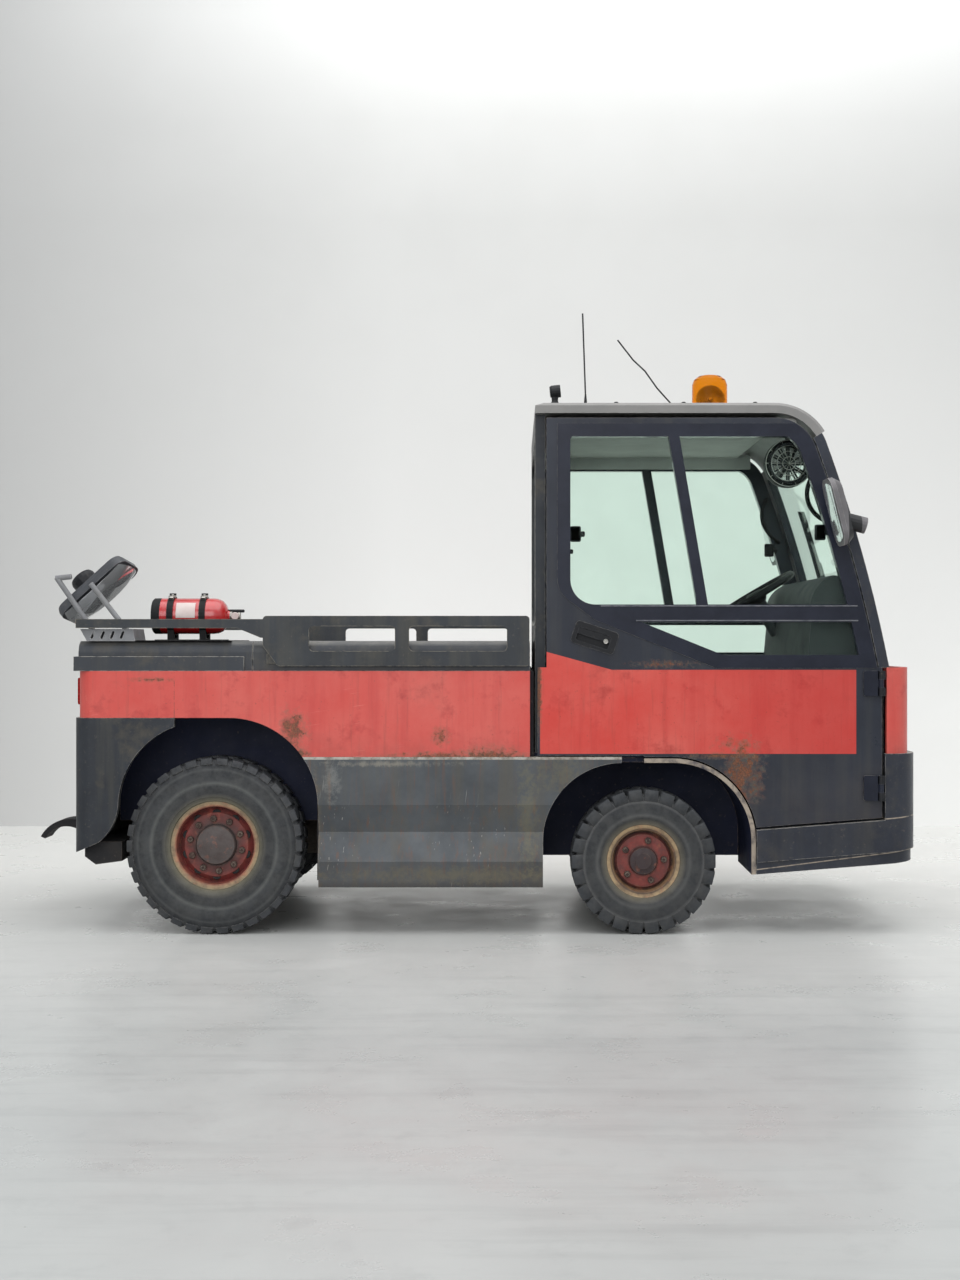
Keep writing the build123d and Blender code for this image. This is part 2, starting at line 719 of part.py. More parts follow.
# Cab outline: a flat roof, a round brow and a long curved windscreen
screen_setback = 111.0  # windscreen foot behind the nose
screen_foot_angle = 11.0  # from upright
screen_radius = 5400.0
brow_radius = 201.0
roof_lip = 14.0
roof_edge_drop = 11.0
roof_edge_length = 32.0
roof_bevel = 10.0
roof_end_angle = 31.0  # where the roof skin ends, round the brow
floor_sheet = 20.0
structure_top = roof_height - roof_lip
screen_centre = (nose_x - screen_setback - screen_radius * cos(radians(screen_foot_angle)),
                 belt_height - screen_radius * sin(radians(screen_foot_angle)))
brow_angle = degrees(asin((structure_top - brow_radius - screen_centre[1]) / (screen_radius - brow_radius)))
brow_centre = (screen_centre[0] + (screen_radius - brow_radius) * cos(radians(brow_angle)),
               structure_top - brow_radius)
seat_deck_z = front_arch_top + arch_lip + seat_gap


def cab_profile():
    screen = CenterArc(screen_centre, screen_radius, screen_foot_angle, brow_angle - screen_foot_angle)
    brow = CenterArc(brow_centre, brow_radius, brow_angle, 90 - brow_angle)
    base = seat_deck_z + floor_sheet
    foot = screen @ 0
    return make_face(Curve() + [
        screen, brow, Line(brow @ 1, (cab_rear_x, structure_top)),
        Line((cab_rear_x, structure_top), (cab_rear_x, base)),
        Line((cab_rear_x, base), (foot.X, base)), Line((foot.X, base), foot),
    ])


cab_face = cab_profile()
door_zone = offset(cab_face, -shell - panel_gap)
ahead_of_brow = area(brow_centre[0], 2 * nose_x, belt_height, sky)


def roof_zone():
    """Everything above the roof's lower edge, cut square to the roof skin at the front."""
    x, z = brow_centre
    reach = 2 * brow_radius
    tip = (x + reach * cos(radians(roof_end_angle)), z + reach * sin(radians(roof_end_angle)))
    low = structure_top + roof_lip - shell
    return outline((cab_rear_x, low), (x, low), (x, z), tip, (tip[0], sky), (cab_rear_x, sky))


def cab_roof():
    skin = offset(cab_face, roof_lip) - offset(cab_face, roof_lip - shell)
    face = skin & roof_zone()
    face -= outline((cab_rear_x - 1, roof_height - roof_edge_drop), (cab_rear_x + roof_edge_length, roof_height),
                    (cab_rear_x + roof_edge_length, sky), (cab_rear_x - 1, sky))
    slab = across(face, -cab_half, cab_half)
    rounded = [
        edge for edge in slab.edges()
        if abs(abs(edge.center().Y) - cab_half) < 1 and (
            edge.geom_type == GeomType.LINE and edge.center().Z > roof_height - 1
            or edge.geom_type == GeomType.CIRCLE and edge.radius > brow_radius + roof_lip - 1)
    ]
    return chamfer(rounded, roof_bevel)


pillar_width = 78.0
screen_frame = 45.0
screen_head_drop = 153.0  # top of the windscreen opening, below the roof
door_thickness = 38.0
door_inner = cab_half - door_thickness
wall_half = door_inner - 2
post_width = 60.0
post_back = 205.0
door_front_setback = 138.0
door_front_x = nose_x - door_front_setback
screen_top = structure_top - screen_head_drop
floor_z = rail_top


def cab_front_frame():
    skin = (cab_face - offset(cab_face, -shell)) - roof_zone()
    frame = across(skin & ahead_of_brow, -cab_half, cab_half)
    opening = cab_half - pillar_width
    frame -= block(brow_centre[0], nose_x, -opening, opening, belt_height + screen_frame, screen_top)
    post = block(nose_x - post_back, door_front_x + 14, wall_half - post_width, wall_half, floor_z + floor_sheet,
                 belt_height)
    return frame + both_sides(post)


glass_inset = 12.0
glass_thickness = 6.0


def windscreen():
    pane = offset(cab_face, -glass_inset) - offset(cab_face, -glass_inset - glass_thickness)
    pane &= area(brow_centre[0], 2 * nose_x, belt_height + screen_frame + seat_gap, screen_top - seat_gap)
    half = cab_half - pillar_width - seat_gap
    return across(pane, -half, half)


window_side_room = 100.0
rear_window_bottom = 1150.0
rear_window_drop = 105.0
window_corner = 60.0


def rear_opening(gap):
    half = wall_half - window_side_room - gap
    top = structure_top - rear_window_drop - gap
    return rounded_area(-half, half, rear_window_bottom + gap, top, window_corner - gap)


def cab_rear_wall():
    top = roof_height - shell
    wall = block(cab_rear_x, cab_rear_x + shell, -wall_half, wall_half, seat_deck_z + floor_sheet, top)
    return wall - along(rear_opening(0), cab_rear_x - 1, cab_rear_x + shell + 1)


def rear_window():
    return along(rear_opening(seat_gap), cab_rear_x + glass_inset, cab_rear_x + glass_inset + glass_thickness)


house_ground = 226.0
house_wall = 12.0
house_inner = front_rail_outer + 8
house_outer = wall_half + 2


def wheelhouses():
    band = offset(front_arch, arch_lip) - front_arch
    band &= area(0, 2 * nose_x, house_ground, sky)
    shape = across(band, house_inner + house_wall, house_outer)
    shape += across(band & area(front_axle_x, 2 * nose_x, 0, sky), house_outer, cab_half)
    wall = front_arch & area(0, 2 * nose_x, house_ground + 24, sky)
    wall -= rounded_area(front_axle_x - 215, front_axle_x + 60, 0, rail_bottom + 40, 30)
    return both_sides(shape + across(wall, house_inner, house_inner + house_wall))


step_ahead = 18.0


def cab_floor():
    step_x = front_arch_front + step_ahead
    x0, x1 = bulkhead_front_x + 2, firewall_x
    z, low = seat_deck_z, floor_z
    section = outline(
        (x0, z), (step_x, z), (step_x, low), (x1, low), (x1, belt_height - 20), (x1 - floor_sheet, belt_height - 20),
        (x1 - floor_sheet, low + floor_sheet), (step_x + floor_sheet, low + floor_sheet),
        (step_x + floor_sheet, z + floor_sheet), (x0, z + floor_sheet),
    )
    half = wall_half
    floor = across(section, -half, half)
    corner = area(x1 - floor_sheet - 1, x1 + 1, low + floor_sheet, belt_height)
    return floor - both_sides(across(corner, half - post_width, half + 1))


cowl_setback = 28.0
cowl_side_inset = 5.0
cowl_corner_radius = 85.0
cowl_rear_x = door_front_x + 16


def front_cowl():
    plan = wrap(nose_x - cowl_setback, cowl_rear_x, body_half - cowl_side_inset, panel_thickness, cowl_corner_radius)
    return upright(plan, cowl_bottom, belt_height)


nose_corner_radius = 115.0
nose_sill = 390.0  # rear end of the front bumper's top edge
nose_sill_rise = 37.0
nose_low = 226.0
nose_low_rise = 48.0
bumper_strip = 45.0
strip_inset = 10.0
headlamp_room = 220.0
headlamp_z = 540.0
headlamp_radius = 72.0
headlamp_sides = 28


def lamp_ring(radius, x0, x1):
    ring = Pos(body_half - headlamp_room, headlamp_z) * RegularPolygon(radius, headlamp_sides)
    return both_sides(along(ring, x0, x1))


def front_bumper():
    rear = front_arch_front + arch_lip
    step = cowl_rear_x - 6
    strip_top = nose_low + bumper_strip
    far = 2 * nose_x
    face = outline(
        (rear, strip_top), (nose_x, strip_top + nose_low_rise), (far, strip_top + nose_low_rise), (far, cowl_bottom),
        (step, cowl_bottom), (step, nose_sill + nose_sill_rise), (rear, nose_sill),
    )
    strip = outline((rear, nose_low), (nose_x, nose_low + nose_low_rise), (far, nose_low + nose_low_rise),
                    (far, strip_top + nose_low_rise), (nose_x, strip_top + nose_low_rise), (rear, strip_top))
    plan = wrap(nose_x, rear + 2, body_half, bumper_thickness, nose_corner_radius)
    strip_plan = wrap(nose_x - strip_inset, rear + 2, body_half - strip_inset, bumper_thickness - strip_inset,
                      nose_corner_radius - strip_inset)
    shape = upright(plan, 0, cowl_bottom) & across(face, -body_width, body_width)
    shape += upright(strip_plan, 0, cowl_bottom) & across(strip, -body_width, body_width)
    return shape - lamp_ring(headlamp_radius, nose_x - 2 * bumper_thickness, nose_x + 1)


def headlamps():
    bowl = lamp_ring(headlamp_radius - seat_gap, nose_x - bumper_thickness, nose_x - 8)
    return bowl + lamp_ring(headlamp_radius - 8, nose_x - 9, nose_x - 3)


# Cab furniture
dash_back = 405.0


def dashboard():
    x, z = nose_x, belt_height
    profile = make_face(Curve() + [
        Line((x - dash_back, z - 90), (x - dash_back + 25, z + 190)),
        ThreePointArc((x - dash_back + 25, z + 190), (x - 360, z + 300), (x - 300, z + 344)),
        Line((x - 300, z + 344), (x - 235, z + 338)),
        ThreePointArc((x - 235, z + 338), (x - 190, z + 210), (x - 165, z)),
        Line((x - 165, z), (x - 215, z)),
        Line((x - 215, z), (x - 215, z - 90)),
        Line((x - 215, z - 90), (x - dash_back, z - 90)),
    ])
    half = wall_half - post_width - seat_gap
    return across(profile & offset(cab_face, -shell - seat_gap), -half, half)


wheel_setback = 472.0
wheel_up = 291.0
wheel_tilt = 30.8
wheel_rim_radius = 190.0
wheel_grip = 14.0
seat_side_room = 90.0
seat_middle_room = 50.0  # from the middle of the cab
seat_half = (wall_half - seat_side_room - seat_middle_room) / 2
driver_y = seat_middle_room + seat_half
ring_sides = 32


def column_point(distance):
    turn = radians(wheel_tilt)
    return (nose_x - wheel_setback + distance * sin(turn), driver_y, belt_height + wheel_up - distance * cos(turn))


def steering_plane():
    top, low = column_point(0), column_point(100)
    return Plane(top, z_dir=Vector(*low) - Vector(*top))


hub_depth = 40.0


def steering_column():
    return rod(column_point(hub_depth), column_point(190), 30, 16) - dashboard()


def steering_wheel():
    middle = wheel_rim_radius - wheel_grip
    g, k = wheel_grip, 0.41 * wheel_grip
    ring = drum(ring_sides, (middle + k, -g), (middle + g, -k), (middle + g, k), (middle + k, g))
    ring -= drum(ring_sides, (middle - k, -g - 0.01), (middle - g, -k), (middle - g, k), (middle - k, g + 0.01))
    hub = drum(20, (30, -12), (46, 0), (50, 14), (34, hub_depth - seat_gap))
    spoke = Pos(middle / 2, 0, 4) * Box(middle, 28, 10)
    return steering_plane() * (ring + hub + [Rot(0, 0, turn) * spoke for turn in (0, 120, 240)])


seat_back_x = cab_rear_x + 232.0
seat_base_height = 86.0
cushion_length = 460.0
cushion_height = 110.0
back_height = 335.0
back_thickness = 85.0


def seat(y):
    z = seat_deck_z + floor_sheet
    x = seat_back_x + 110
    top = z + seat_base_height
    shape = block(x + 30, x + cushion_length - 30, y - seat_half + 40, y + seat_half - 40, z, top)
    pad = extrude(Pos(x + cushion_length / 2, y, top) * RectangleRounded(cushion_length, 2 * seat_half, 60),
                  amount=cushion_height * 0.6)
    pad += extrude(Pos(x + cushion_length / 2, y, top + cushion_height * 0.6) * RectangleRounded(
        cushion_length, 2 * seat_half, 60), amount=cushion_height * 0.4, taper=35)
    foot = top + cushion_height * 0.8
    side = outline((x + 40, foot), (x + 40 - back_thickness, foot - 10), (seat_back_x, foot + back_height),
                   (seat_back_x + back_thickness * 0.6, foot + back_height))
    back = across(side, y - seat_half + 5, y + seat_half - 5)
    return shape + pad + back


def seats():
    return both_sides(seat(driver_y))


pedal_width = 60.0


def pedals():
    x, z = firewall_x - 110, floor_z + floor_sheet
    side = outline((x - 90, z), (x - 60, z), (x - 12, z + 104), (x, z + 130), (x - 25, z + 140), (x - 37, z + 112))
    right, left = driver_y - 90, driver_y + 20
    return across(side, left, left + pedal_width) + across(side, right, right + pedal_width)


fan_setback = 462.0
fan_side_room = 150.0
fan_drop = 212.0
fan_radius = 90.0
fan_depth = 60.0
fan_sides = 28


def cab_fan():
    x, y, z = nose_x - fan_setback, fan_side_room - body_half, roof_height - fan_drop
    half = fan_depth / 2
    cage = drum(fan_sides, (fan_radius - 14, -half), (fan_radius, -half + 14), (fan_radius, half - 14),
                (fan_radius - 14, half))
    cage -= drum(fan_sides, (fan_radius - 24, -half - 1), (fan_radius - 6, -half + 14), (fan_radius - 6, half - 14),
                 (fan_radius - 24, half + 1))
    cage += drum(12, (24, -half + 4), (28, 0), (24, half - 4))
    bar = Box(2 * fan_radius - 30, 6, 8)
    cage += [Rot(0, 0, turn) * Pos(0, 0, lift) * bar for turn in range(0, 180, 30) for lift in (half - 6, 6 - half)]
    room = across(offset(cab_face, roof_lip - shell - seat_gap), -cab_half, cab_half)
    stem = rod((x, y, z + fan_radius - 4), (x, y, roof_height), 10) & room
    return Pos(x, y, z) * (upright_to_y * cage) + stem


# Roof fittings
beacon_setback = 697.0
beacon_radius = 72.0
beacon_sides = 32


def beacon_base():
    return Pos(nose_x - beacon_setback, 0, roof_height) * drum(
        beacon_sides, (beacon_radius + 8, 0), (beacon_radius + 8, 14), (beacon_radius, 24))


def beacon_lens():
    r = beacon_radius
    return Pos(nose_x - beacon_setback, 0, roof_height + 24) * drum(
        beacon_sides, (r - 3, 0), (r - 3, 8), (r, 14), (r - 1, 140), (r - 8, 160), (r - 26, 174), (r - 52, 180))


work_lamp_ahead = 77.0
roof_side_room = 170.0
antenna_ahead = 194.0
whip_ahead = 527.0
whip_radius = 3.0
antenna_up = 366.0


def work_lamp():
    x, y, z = cab_rear_x + work_lamp_ahead, roof_side_room - cab_half, roof_height
    foot = Pos(x, y, z) * drum(12, (24, 0), (20, 8), (12, 30), (13, 44))
    head = Pos(x + 1, y, z + 66) * Rot(0, 84, 0) * drum(16, (20, -20), (24, -12), (24, 20))
    return foot + head


def antennas():
    y, z = roof_side_room + 20 - cab_half, roof_height
    x = cab_rear_x + antenna_ahead
    shape = Pos(x, y, z) * drum(10, (12, 0), (7, 8), (5, 40), (whip_radius, 60))
    shape += rod((x, y, z + 50), (x - 11, y, z + antenna_up), whip_radius, 8)
    x = cab_rear_x + whip_ahead
    bends = [(x, y, z + 14), (x - 61, y, z + 82), (x - 107, y, z + 147), (x - 152, y, z + 189), (x - 211, y, z + 265)]
    shape += Pos(x, y, z) * drum(10, (12, 0), (9, 22))
    for start, end in zip(bends, bends[1:]):
        shape += rod(start, end, whip_radius, 8)
    return shape


wiper_y = 250.0
wiper_reach = 430.0


def screen_strip(low, high, z0, z1, half):
    """A strip along the windscreen's curve, between two heights over the cab outline."""
    face = (offset(cab_face, high) - offset(cab_face, low)) & area(brow_centre[0], 2 * nose_x, z0, z1)
    return across(face, wiper_y - half, wiper_y + half)


def wiper():
    z = belt_height
    foot = screen_strip(seat_gap, 22, z + 4, z + 34, 16)
    arm = screen_strip(10, 20, z + 20, z + wiper_reach, 7)
    return foot + arm + screen_strip(seat_gap - glass_inset, 14, z + wiper_reach / 2, z + 1.5 * wiper_reach, 5)


# Doors, hinged at the front
door_rear_gap = 9.0
sill_drop = 9.0
hinge_setback = 143.0
hinge_proud = 13.0
hinge_radius = 10.0
hinge_pin_radius = 5.0
hinge_half = 46.0
hinge_barrel = 15.0
hinge_sides = 16
leaf_thickness = 12.0
leaf_length = 64.0
hinge_arm = 6.0  # thickness, in the gap ahead of the door
hinge_heights = (belt_height - 445.0, belt_height - 59.0)
hinge_x = nose_x - hinge_setback
hinge_y = cab_half + hinge_proud
door_rear_x = cab_rear_x + door_rear_gap
border = 48.0
border_proud = 3.0
pane_corner = 12.0
pane_big_corner = 92.0


def door_outline():
    bottom = seat_deck_z + 10
    upper = door_zone & area(door_rear_x, 2 * nose_x, belt_height, sky)
    lower = outline(
        (door_rear_x, bottom), (front_axle_x, bottom), (front_axle_x, nose_sill + sill_drop),
        (front_arch_front + arch_lip, nose_sill + sill_drop), (door_front_x, nose_sill + nose_sill_rise + sill_drop),
        (door_front_x, belt_height), (door_rear_x, belt_height),
    )
    return (upper + lower) - offset(front_arch, arch_lip + 6)


pane_top_drop = 111.0
pane_rear = 130.0
upper_sill = 232.0  # above the belt
lower_head = 167.0
lower_sill = 46.0
sash_foot = 617.0  # from the back of the cab
sash_lean = 105.0
sash_width = 40.0
lower_tip = 392.0
lower_slope = 300.0
pane_front_room = 60.0


def window_outlines():
    """Rear, front and lower pane of a door."""
    x, z = cab_rear_x, belt_height
    top = structure_top - pane_top_drop
    foot, head = x + sash_foot, x + sash_foot - sash_lean
    front_line = offset(door_zone, -pane_front_room)
    rear_pane = outline((x + pane_rear, top), (head - sash_width / 2, top), (foot - sash_width / 2, z + upper_sill),
                        (x + pane_rear, z + upper_sill))
    rear_pane = round_corner(rear_pane, (x + pane_rear, z + upper_sill), pane_big_corner)
    rear_pane = round_corner(rear_pane, (x + pane_rear, top), pane_corner)
    front_pane = front_line & outline((head + sash_width / 2, top), (2 * nose_x, top), (2 * nose_x, z + upper_sill),
                                      (foot + sash_width / 2, z + upper_sill))
    lower_pane = front_line & outline((x + lower_tip, z + lower_head), (2 * nose_x, z + lower_head),
                                      (2 * nose_x, z + lower_sill), (x + lower_tip + lower_slope, z + lower_sill))
    return rear_pane, front_pane, lower_pane


def glazing_border():
    """The black frame round all the panes, a little proud of the door."""
    x, z = cab_rear_x, belt_height
    top = structure_top - pane_top_drop + border
    frame = outline(
        (x + pane_rear - border, top), (2 * nose_x, top), (2 * nose_x, z + lower_sill - border),
        (x + lower_tip + lower_slope - border / 2, z + lower_sill - border),
        (x + pane_rear + pane_big_corner, z + upper_sill - 1.2 * border),
        (x + pane_rear - border, z + upper_sill + border),
    )
    frame = round_corner(frame, (x + pane_rear - border, z + upper_sill + border), 2 * border)
    return frame & offset(door_zone, -panel_gap)


handle_ahead = 220.0
handle_up = 110.0
handle_tilt = -18.0
handle_length = 165.0
handle_height = 84.0
handle_depth = 14.0


def handle_outline(gap):
    place = Pos(cab_rear_x + handle_ahead, belt_height + handle_up) * Rot(0, 0, handle_tilt)
    return place * RectangleRounded(handle_length - 2 * gap, handle_height - 2 * gap, 14)


def door_panel():
    face = door_outline()
    frame = glazing_border()
    for pane in window_outlines():
        face -= pane
        frame -= pane
    panel = across(face, door_inner, cab_half) + across(frame, cab_half - 1, cab_half + border_proud)
    panel -= across(handle_outline(0), cab_half - handle_depth, body_width)
    for z in hinge_heights:
        leaf = rounded_area(hinge_x - leaf_length, hinge_x + hinge_radius / 2, z - hinge_half, z + hinge_half, 8)
        panel += across(leaf & area(0, hinge_x, 0, sky), cab_half, cab_half + leaf_thickness)
        barrel = Pos(hinge_x, hinge_y) * RegularPolygon(hinge_radius, hinge_sides)
        room = Pos(hinge_x, hinge_y) * RegularPolygon(hinge_radius + 3, hinge_sides)
        panel -= upright(room, z + hinge_barrel, z + hinge_half + 1)
        panel -= upright(room, z - hinge_half - 1, z - hinge_barrel)
        panel += upright(barrel, z - hinge_barrel, z + hinge_barrel)
        panel -= pin((hinge_x, hinge_y, z - hinge_half), (hinge_x, hinge_y, z + hinge_half),
                     hinge_pin_radius + running_clearance)
    return panel


def door_glass():
    rear_pane, front_pane, lower_pane = (offset(pane, -seat_gap) for pane in window_outlines())
    return across(rear_pane + front_pane + lower_pane, door_inner + 14, door_inner + 14 + glass_thickness)


def door_handle():
    place = Pos(cab_rear_x + handle_ahead, belt_height + handle_up) * Rot(0, 0, handle_tilt)
    well = Pos(-4, -4) * RectangleRounded(handle_length - 40, handle_height - 34, 8)
    bezel = handle_outline(seat_gap) - place * well
    base = cab_half - handle_depth
    shape = across(bezel, base, cab_half + 5) + across(handle_outline(seat_gap), base, base + 3)
    paddle = place * (Pos(-4, 8) * Rectangle(handle_length - 38, 22))
    return shape + across(paddle, base + 8, cab_half + 3)


arm_setback = 265.0
arm_up = 525.0
mirror_out = 120.0
head_width = 176.0
head_height = 248.0
head_depth = 40.0
head_tilt = 14.0


def door_mirror():
    x, y, z = nose_x - arm_setback, cab_half + mirror_out, belt_height + arm_up
    turn = radians(head_tilt)
    back = Plane((x - 60, y, z + 40), x_dir=(0, 1, 0), z_dir=(cos(turn), 0, sin(turn)))
    head = extrude(back * RectangleRounded(head_width, head_height, 55), amount=-head_depth * 0.4)
    head += extrude(back * RectangleRounded(head_width, head_height, 55), amount=head_depth * 0.6, taper=40)
    boss = rod((x - 50, y - 15, z + 14), (x + 44, y - 15, z - 10), 30, 16)
    return head + boss + rod((x, y - 15, z), (x, cab_half, z), 12)


def door_hinges():
    """Hinge pins on arms that reach through the gap ahead of the door to the front posts."""
    hinges = []
    gap = hinge_barrel + seat_gap
    arm_x = door_front_x + panel_gap / 2
    for z in hinge_heights:
        hinge = pin((hinge_x, hinge_y, z - hinge_half), (hinge_x, hinge_y, z + hinge_half), hinge_pin_radius)
        for z0, z1 in ((z + gap, z + hinge_half), (z - hinge_half, z - gap)):
            hinge += upright(Pos(hinge_x, hinge_y) * RegularPolygon(hinge_radius, hinge_sides), z0, z1)
            hinge += block(hinge_x, arm_x + hinge_arm, hinge_y - 4, hinge_y + 8, z0, z1)
            hinge += block(arm_x, arm_x + hinge_arm, wall_half + seat_gap, hinge_y + 8, z0, z1)
        hinges.append(hinge)
    return both_sides(hinges[0] + hinges[1])


def build():
    nodes = {
        "chassis_frame": chassis_frame(),
        "battery_block": battery_block(),
        "front_axle": front_axle(),
        "drive_axle": drive_axle(),
        "tie_rod": tie_rod(),
        "side_panels": side_panels(),
        "tail_panel": tail_panel(),
        "rear_bumper": rear_bumper(),
        "rear_deck_cover": rear_deck_cover(),
        "front_deck_cover": front_deck_cover(),
        "deck_rails": deck_rails(),
        "side_skirts": side_skirts(),
        "tail_lamps": tail_lamps(),
        "tow_coupling": tow_coupling(),
        "coupling_mirror_stand": coupling_mirror_stand(),
        "coupling_mirror": coupling_mirror(),
        "coupling_lamp": coupling_lamp(),
        "fire_extinguisher": fire_extinguisher(),
        "extinguisher_cradle": extinguisher_cradle(),
        "cab_roof": cab_roof(),
        "cab_front_frame": cab_front_frame(),
        "cab_glass": windscreen() + rear_window(),
        "cab_rear_wall": cab_rear_wall(),
        "arch_liners": wheelhouses() + rear_liners(),
        "cab_floor": cab_floor(),
        "front_cowl": front_cowl(),
        "front_bumper": front_bumper(),
        "headlamps": headlamps(),
        "dashboard": dashboard() + steering_column(),
        "steering_wheel": steering_wheel(),
        "seats": seats(),
        "pedals": pedals(),
        "cab_fan": cab_fan(),
        "beacon_base": beacon_base(),
        "beacon_lens": beacon_lens(),
        "work_lamp": work_lamp(),
        "antennas": antennas(),
        "wiper": wiper(),
        "door_hinges": door_hinges(),
    }
    front_tyre, front_rim = front_wheel()
    rear_tyre, rear_rim = rear_wheel()
    front_hub = Pos(front_axle_x, front_wheel_y, front_wheel_z)
    rear_hub = Pos(rear_axle_x, rear_wheel_y, rear_wheel_z)
    left = {
        "knuckle": Pos(front_axle_x, kingpin_y, front_wheel_z) * knuckle(),
        "front_tyre": front_hub * front_tyre,
        "front_rim": front_hub * front_rim,
        "rear_tyre": rear_hub * rear_tyre,
        "rear_rim": rear_hub * rear_rim,
        "door_panel": door_panel(),
        "door_glass": door_glass(),
        "door_handle": door_handle(),
        "door_mirror": door_mirror(),
    }
    for name, solid in left.items():
        nodes[name + "_left"] = solid
        nodes[name + "_right"] = mirror(solid, about=Plane.XZ)
    return nodes


os.makedirs("parts", exist_ok=True)
for name, solid in build().items():
    export_step(solid, f"parts/{name}.step")
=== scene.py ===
from math import cos, pi, radians, sin

import bpy
from mathutils import Matrix, Vector


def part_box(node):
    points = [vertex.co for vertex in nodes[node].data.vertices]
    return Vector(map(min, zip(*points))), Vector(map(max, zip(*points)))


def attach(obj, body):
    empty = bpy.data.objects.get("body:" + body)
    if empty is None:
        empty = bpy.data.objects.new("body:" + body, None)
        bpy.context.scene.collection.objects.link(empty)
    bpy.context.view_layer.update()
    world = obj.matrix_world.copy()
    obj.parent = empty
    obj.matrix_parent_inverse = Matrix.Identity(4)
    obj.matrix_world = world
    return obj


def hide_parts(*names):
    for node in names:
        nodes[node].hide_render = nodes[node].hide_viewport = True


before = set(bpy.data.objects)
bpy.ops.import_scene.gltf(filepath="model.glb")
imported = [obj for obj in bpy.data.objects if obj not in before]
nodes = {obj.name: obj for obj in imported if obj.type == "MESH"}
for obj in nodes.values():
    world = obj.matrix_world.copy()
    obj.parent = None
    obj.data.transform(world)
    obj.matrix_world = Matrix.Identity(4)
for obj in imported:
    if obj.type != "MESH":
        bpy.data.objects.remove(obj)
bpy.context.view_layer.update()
sides = (("left", 1), ("right", -1))
print("frame loaded:", len(nodes), "nodes")


# shader building

def colour(red, green, blue):
    # screen values 0 to 255, turned linear
    return tuple(((v / 255 + 0.055) / 1.055) ** 2.4 for v in (red, green, blue)) + (1,)


def put(tree, kind, *inputs, **settings):
    node = tree.nodes.new(kind)
    for key, value in settings.items():
        setattr(node, key, value)
    for socket, value in inputs:
        if isinstance(value, bpy.types.NodeSocket):
            tree.links.new(value, node.inputs[socket])
        else:
            node.inputs[socket].default_value = value
    return node


def sums(tree, operation, first, second=0.0, clamp=False):
    return put(tree, "ShaderNodeMath", (0, first), (1, second), operation=operation, use_clamp=clamp).outputs[0]


def times(tree, first, second, clamp=False):
    return sums(tree, "MULTIPLY", first, second, clamp)


def between(tree, value, start, end, low=0.0, high=1.0):
    return put(tree, "ShaderNodeMapRange", (0, value), (1, start), (2, end), (3, low), (4, high)).outputs[0]


def mixed(tree, factor, under, over):
    return put(tree, "ShaderNodeMix", (0, factor), (6, under), (7, over), data_type="RGBA").outputs[2]


def mixedValue(tree, factor, under, over):
    return put(tree, "ShaderNodeMix", (0, factor), (2, under), (3, over)).outputs[0]


def objectPlace(tree, scale=(1, 1, 1)):
    place = put(tree, "ShaderNodeTexCoord").outputs["Object"]
    return put(tree, "ShaderNodeMapping", ("Vector", place), ("Scale", scale)).outputs[0]


def split(tree, vector):
    return put(tree, "ShaderNodeSeparateXYZ", (0, vector)).outputs


def noise(tree, place, scale, detail=4.0, rough=0.6):
    return put(tree, "ShaderNodeTexNoise", ("Vector", place), ("Scale", scale), ("Detail", detail),
               ("Roughness", rough)).outputs["Fac"]


# shared effects, each a group with named inputs

def newGroup(name, inputs, outputs=("Mask",)):
    group = bpy.data.node_groups.new(name, "ShaderNodeTree")
    for label, value in inputs.items():
        group.interface.new_socket(label, in_out="INPUT", socket_type="NodeSocketFloat").default_value = value
    for label in outputs:
        group.interface.new_socket(label, in_out="OUTPUT", socket_type="NodeSocketFloat")
    return group, group.nodes.new("NodeGroupInput").outputs, group.nodes.new("NodeGroupOutput").inputs


def makeSpots(name, scale, low, high, stretch, detail, rough):
    group, given, out = newGroup(name, {"Scale": scale, "From": low, "To": high})
    spots = noise(group, objectPlace(group, stretch), given["Scale"], detail, rough)
    group.links.new(between(group, spots, given["From"], given["To"]), out["Mask"])
    return group


# a mask along rounded edges, used for wear and also for painted highlights along edges
def makeEdgeWearAndHighlight():
    group, given, out = newGroup("edgeWearAndHighlight", {"Radius": 0.003, "Gain": 6.0, "Scale": 60.0})
    rounded = put(group, "ShaderNodeBevel", ("Radius", given["Radius"]), samples=6).outputs[0]
    flat = put(group, "ShaderNodeNewGeometry").outputs["Normal"]
    turn = put(group, "ShaderNodeVectorMath", (0, rounded), (1, flat), operation="DOT_PRODUCT").outputs["Value"]
    edge = times(group, sums(group, "SUBTRACT", 1.0, turn), given["Gain"])
    spots = between(group, noise(group, objectPlace(group), given["Scale"], 5.0, 0.7), 0.42, 0.60)
    group.links.new(times(group, edge, spots, True), out["Mask"])
    return group


def makeGroundDust():
    group, given, out = newGroup("groundDust", {"Top": 0.7, "Bottom": 0.15, "Scale": 9.0})
    place = objectPlace(group)
    fall = between(group, split(group, place)["Z"], given["Top"], given["Bottom"])
    spots = between(group, noise(group, place, given["Scale"], 7.0, 0.62), 0.30, 0.68)
    group.links.new(times(group, fall, spots, True), out["Mask"])
    return group


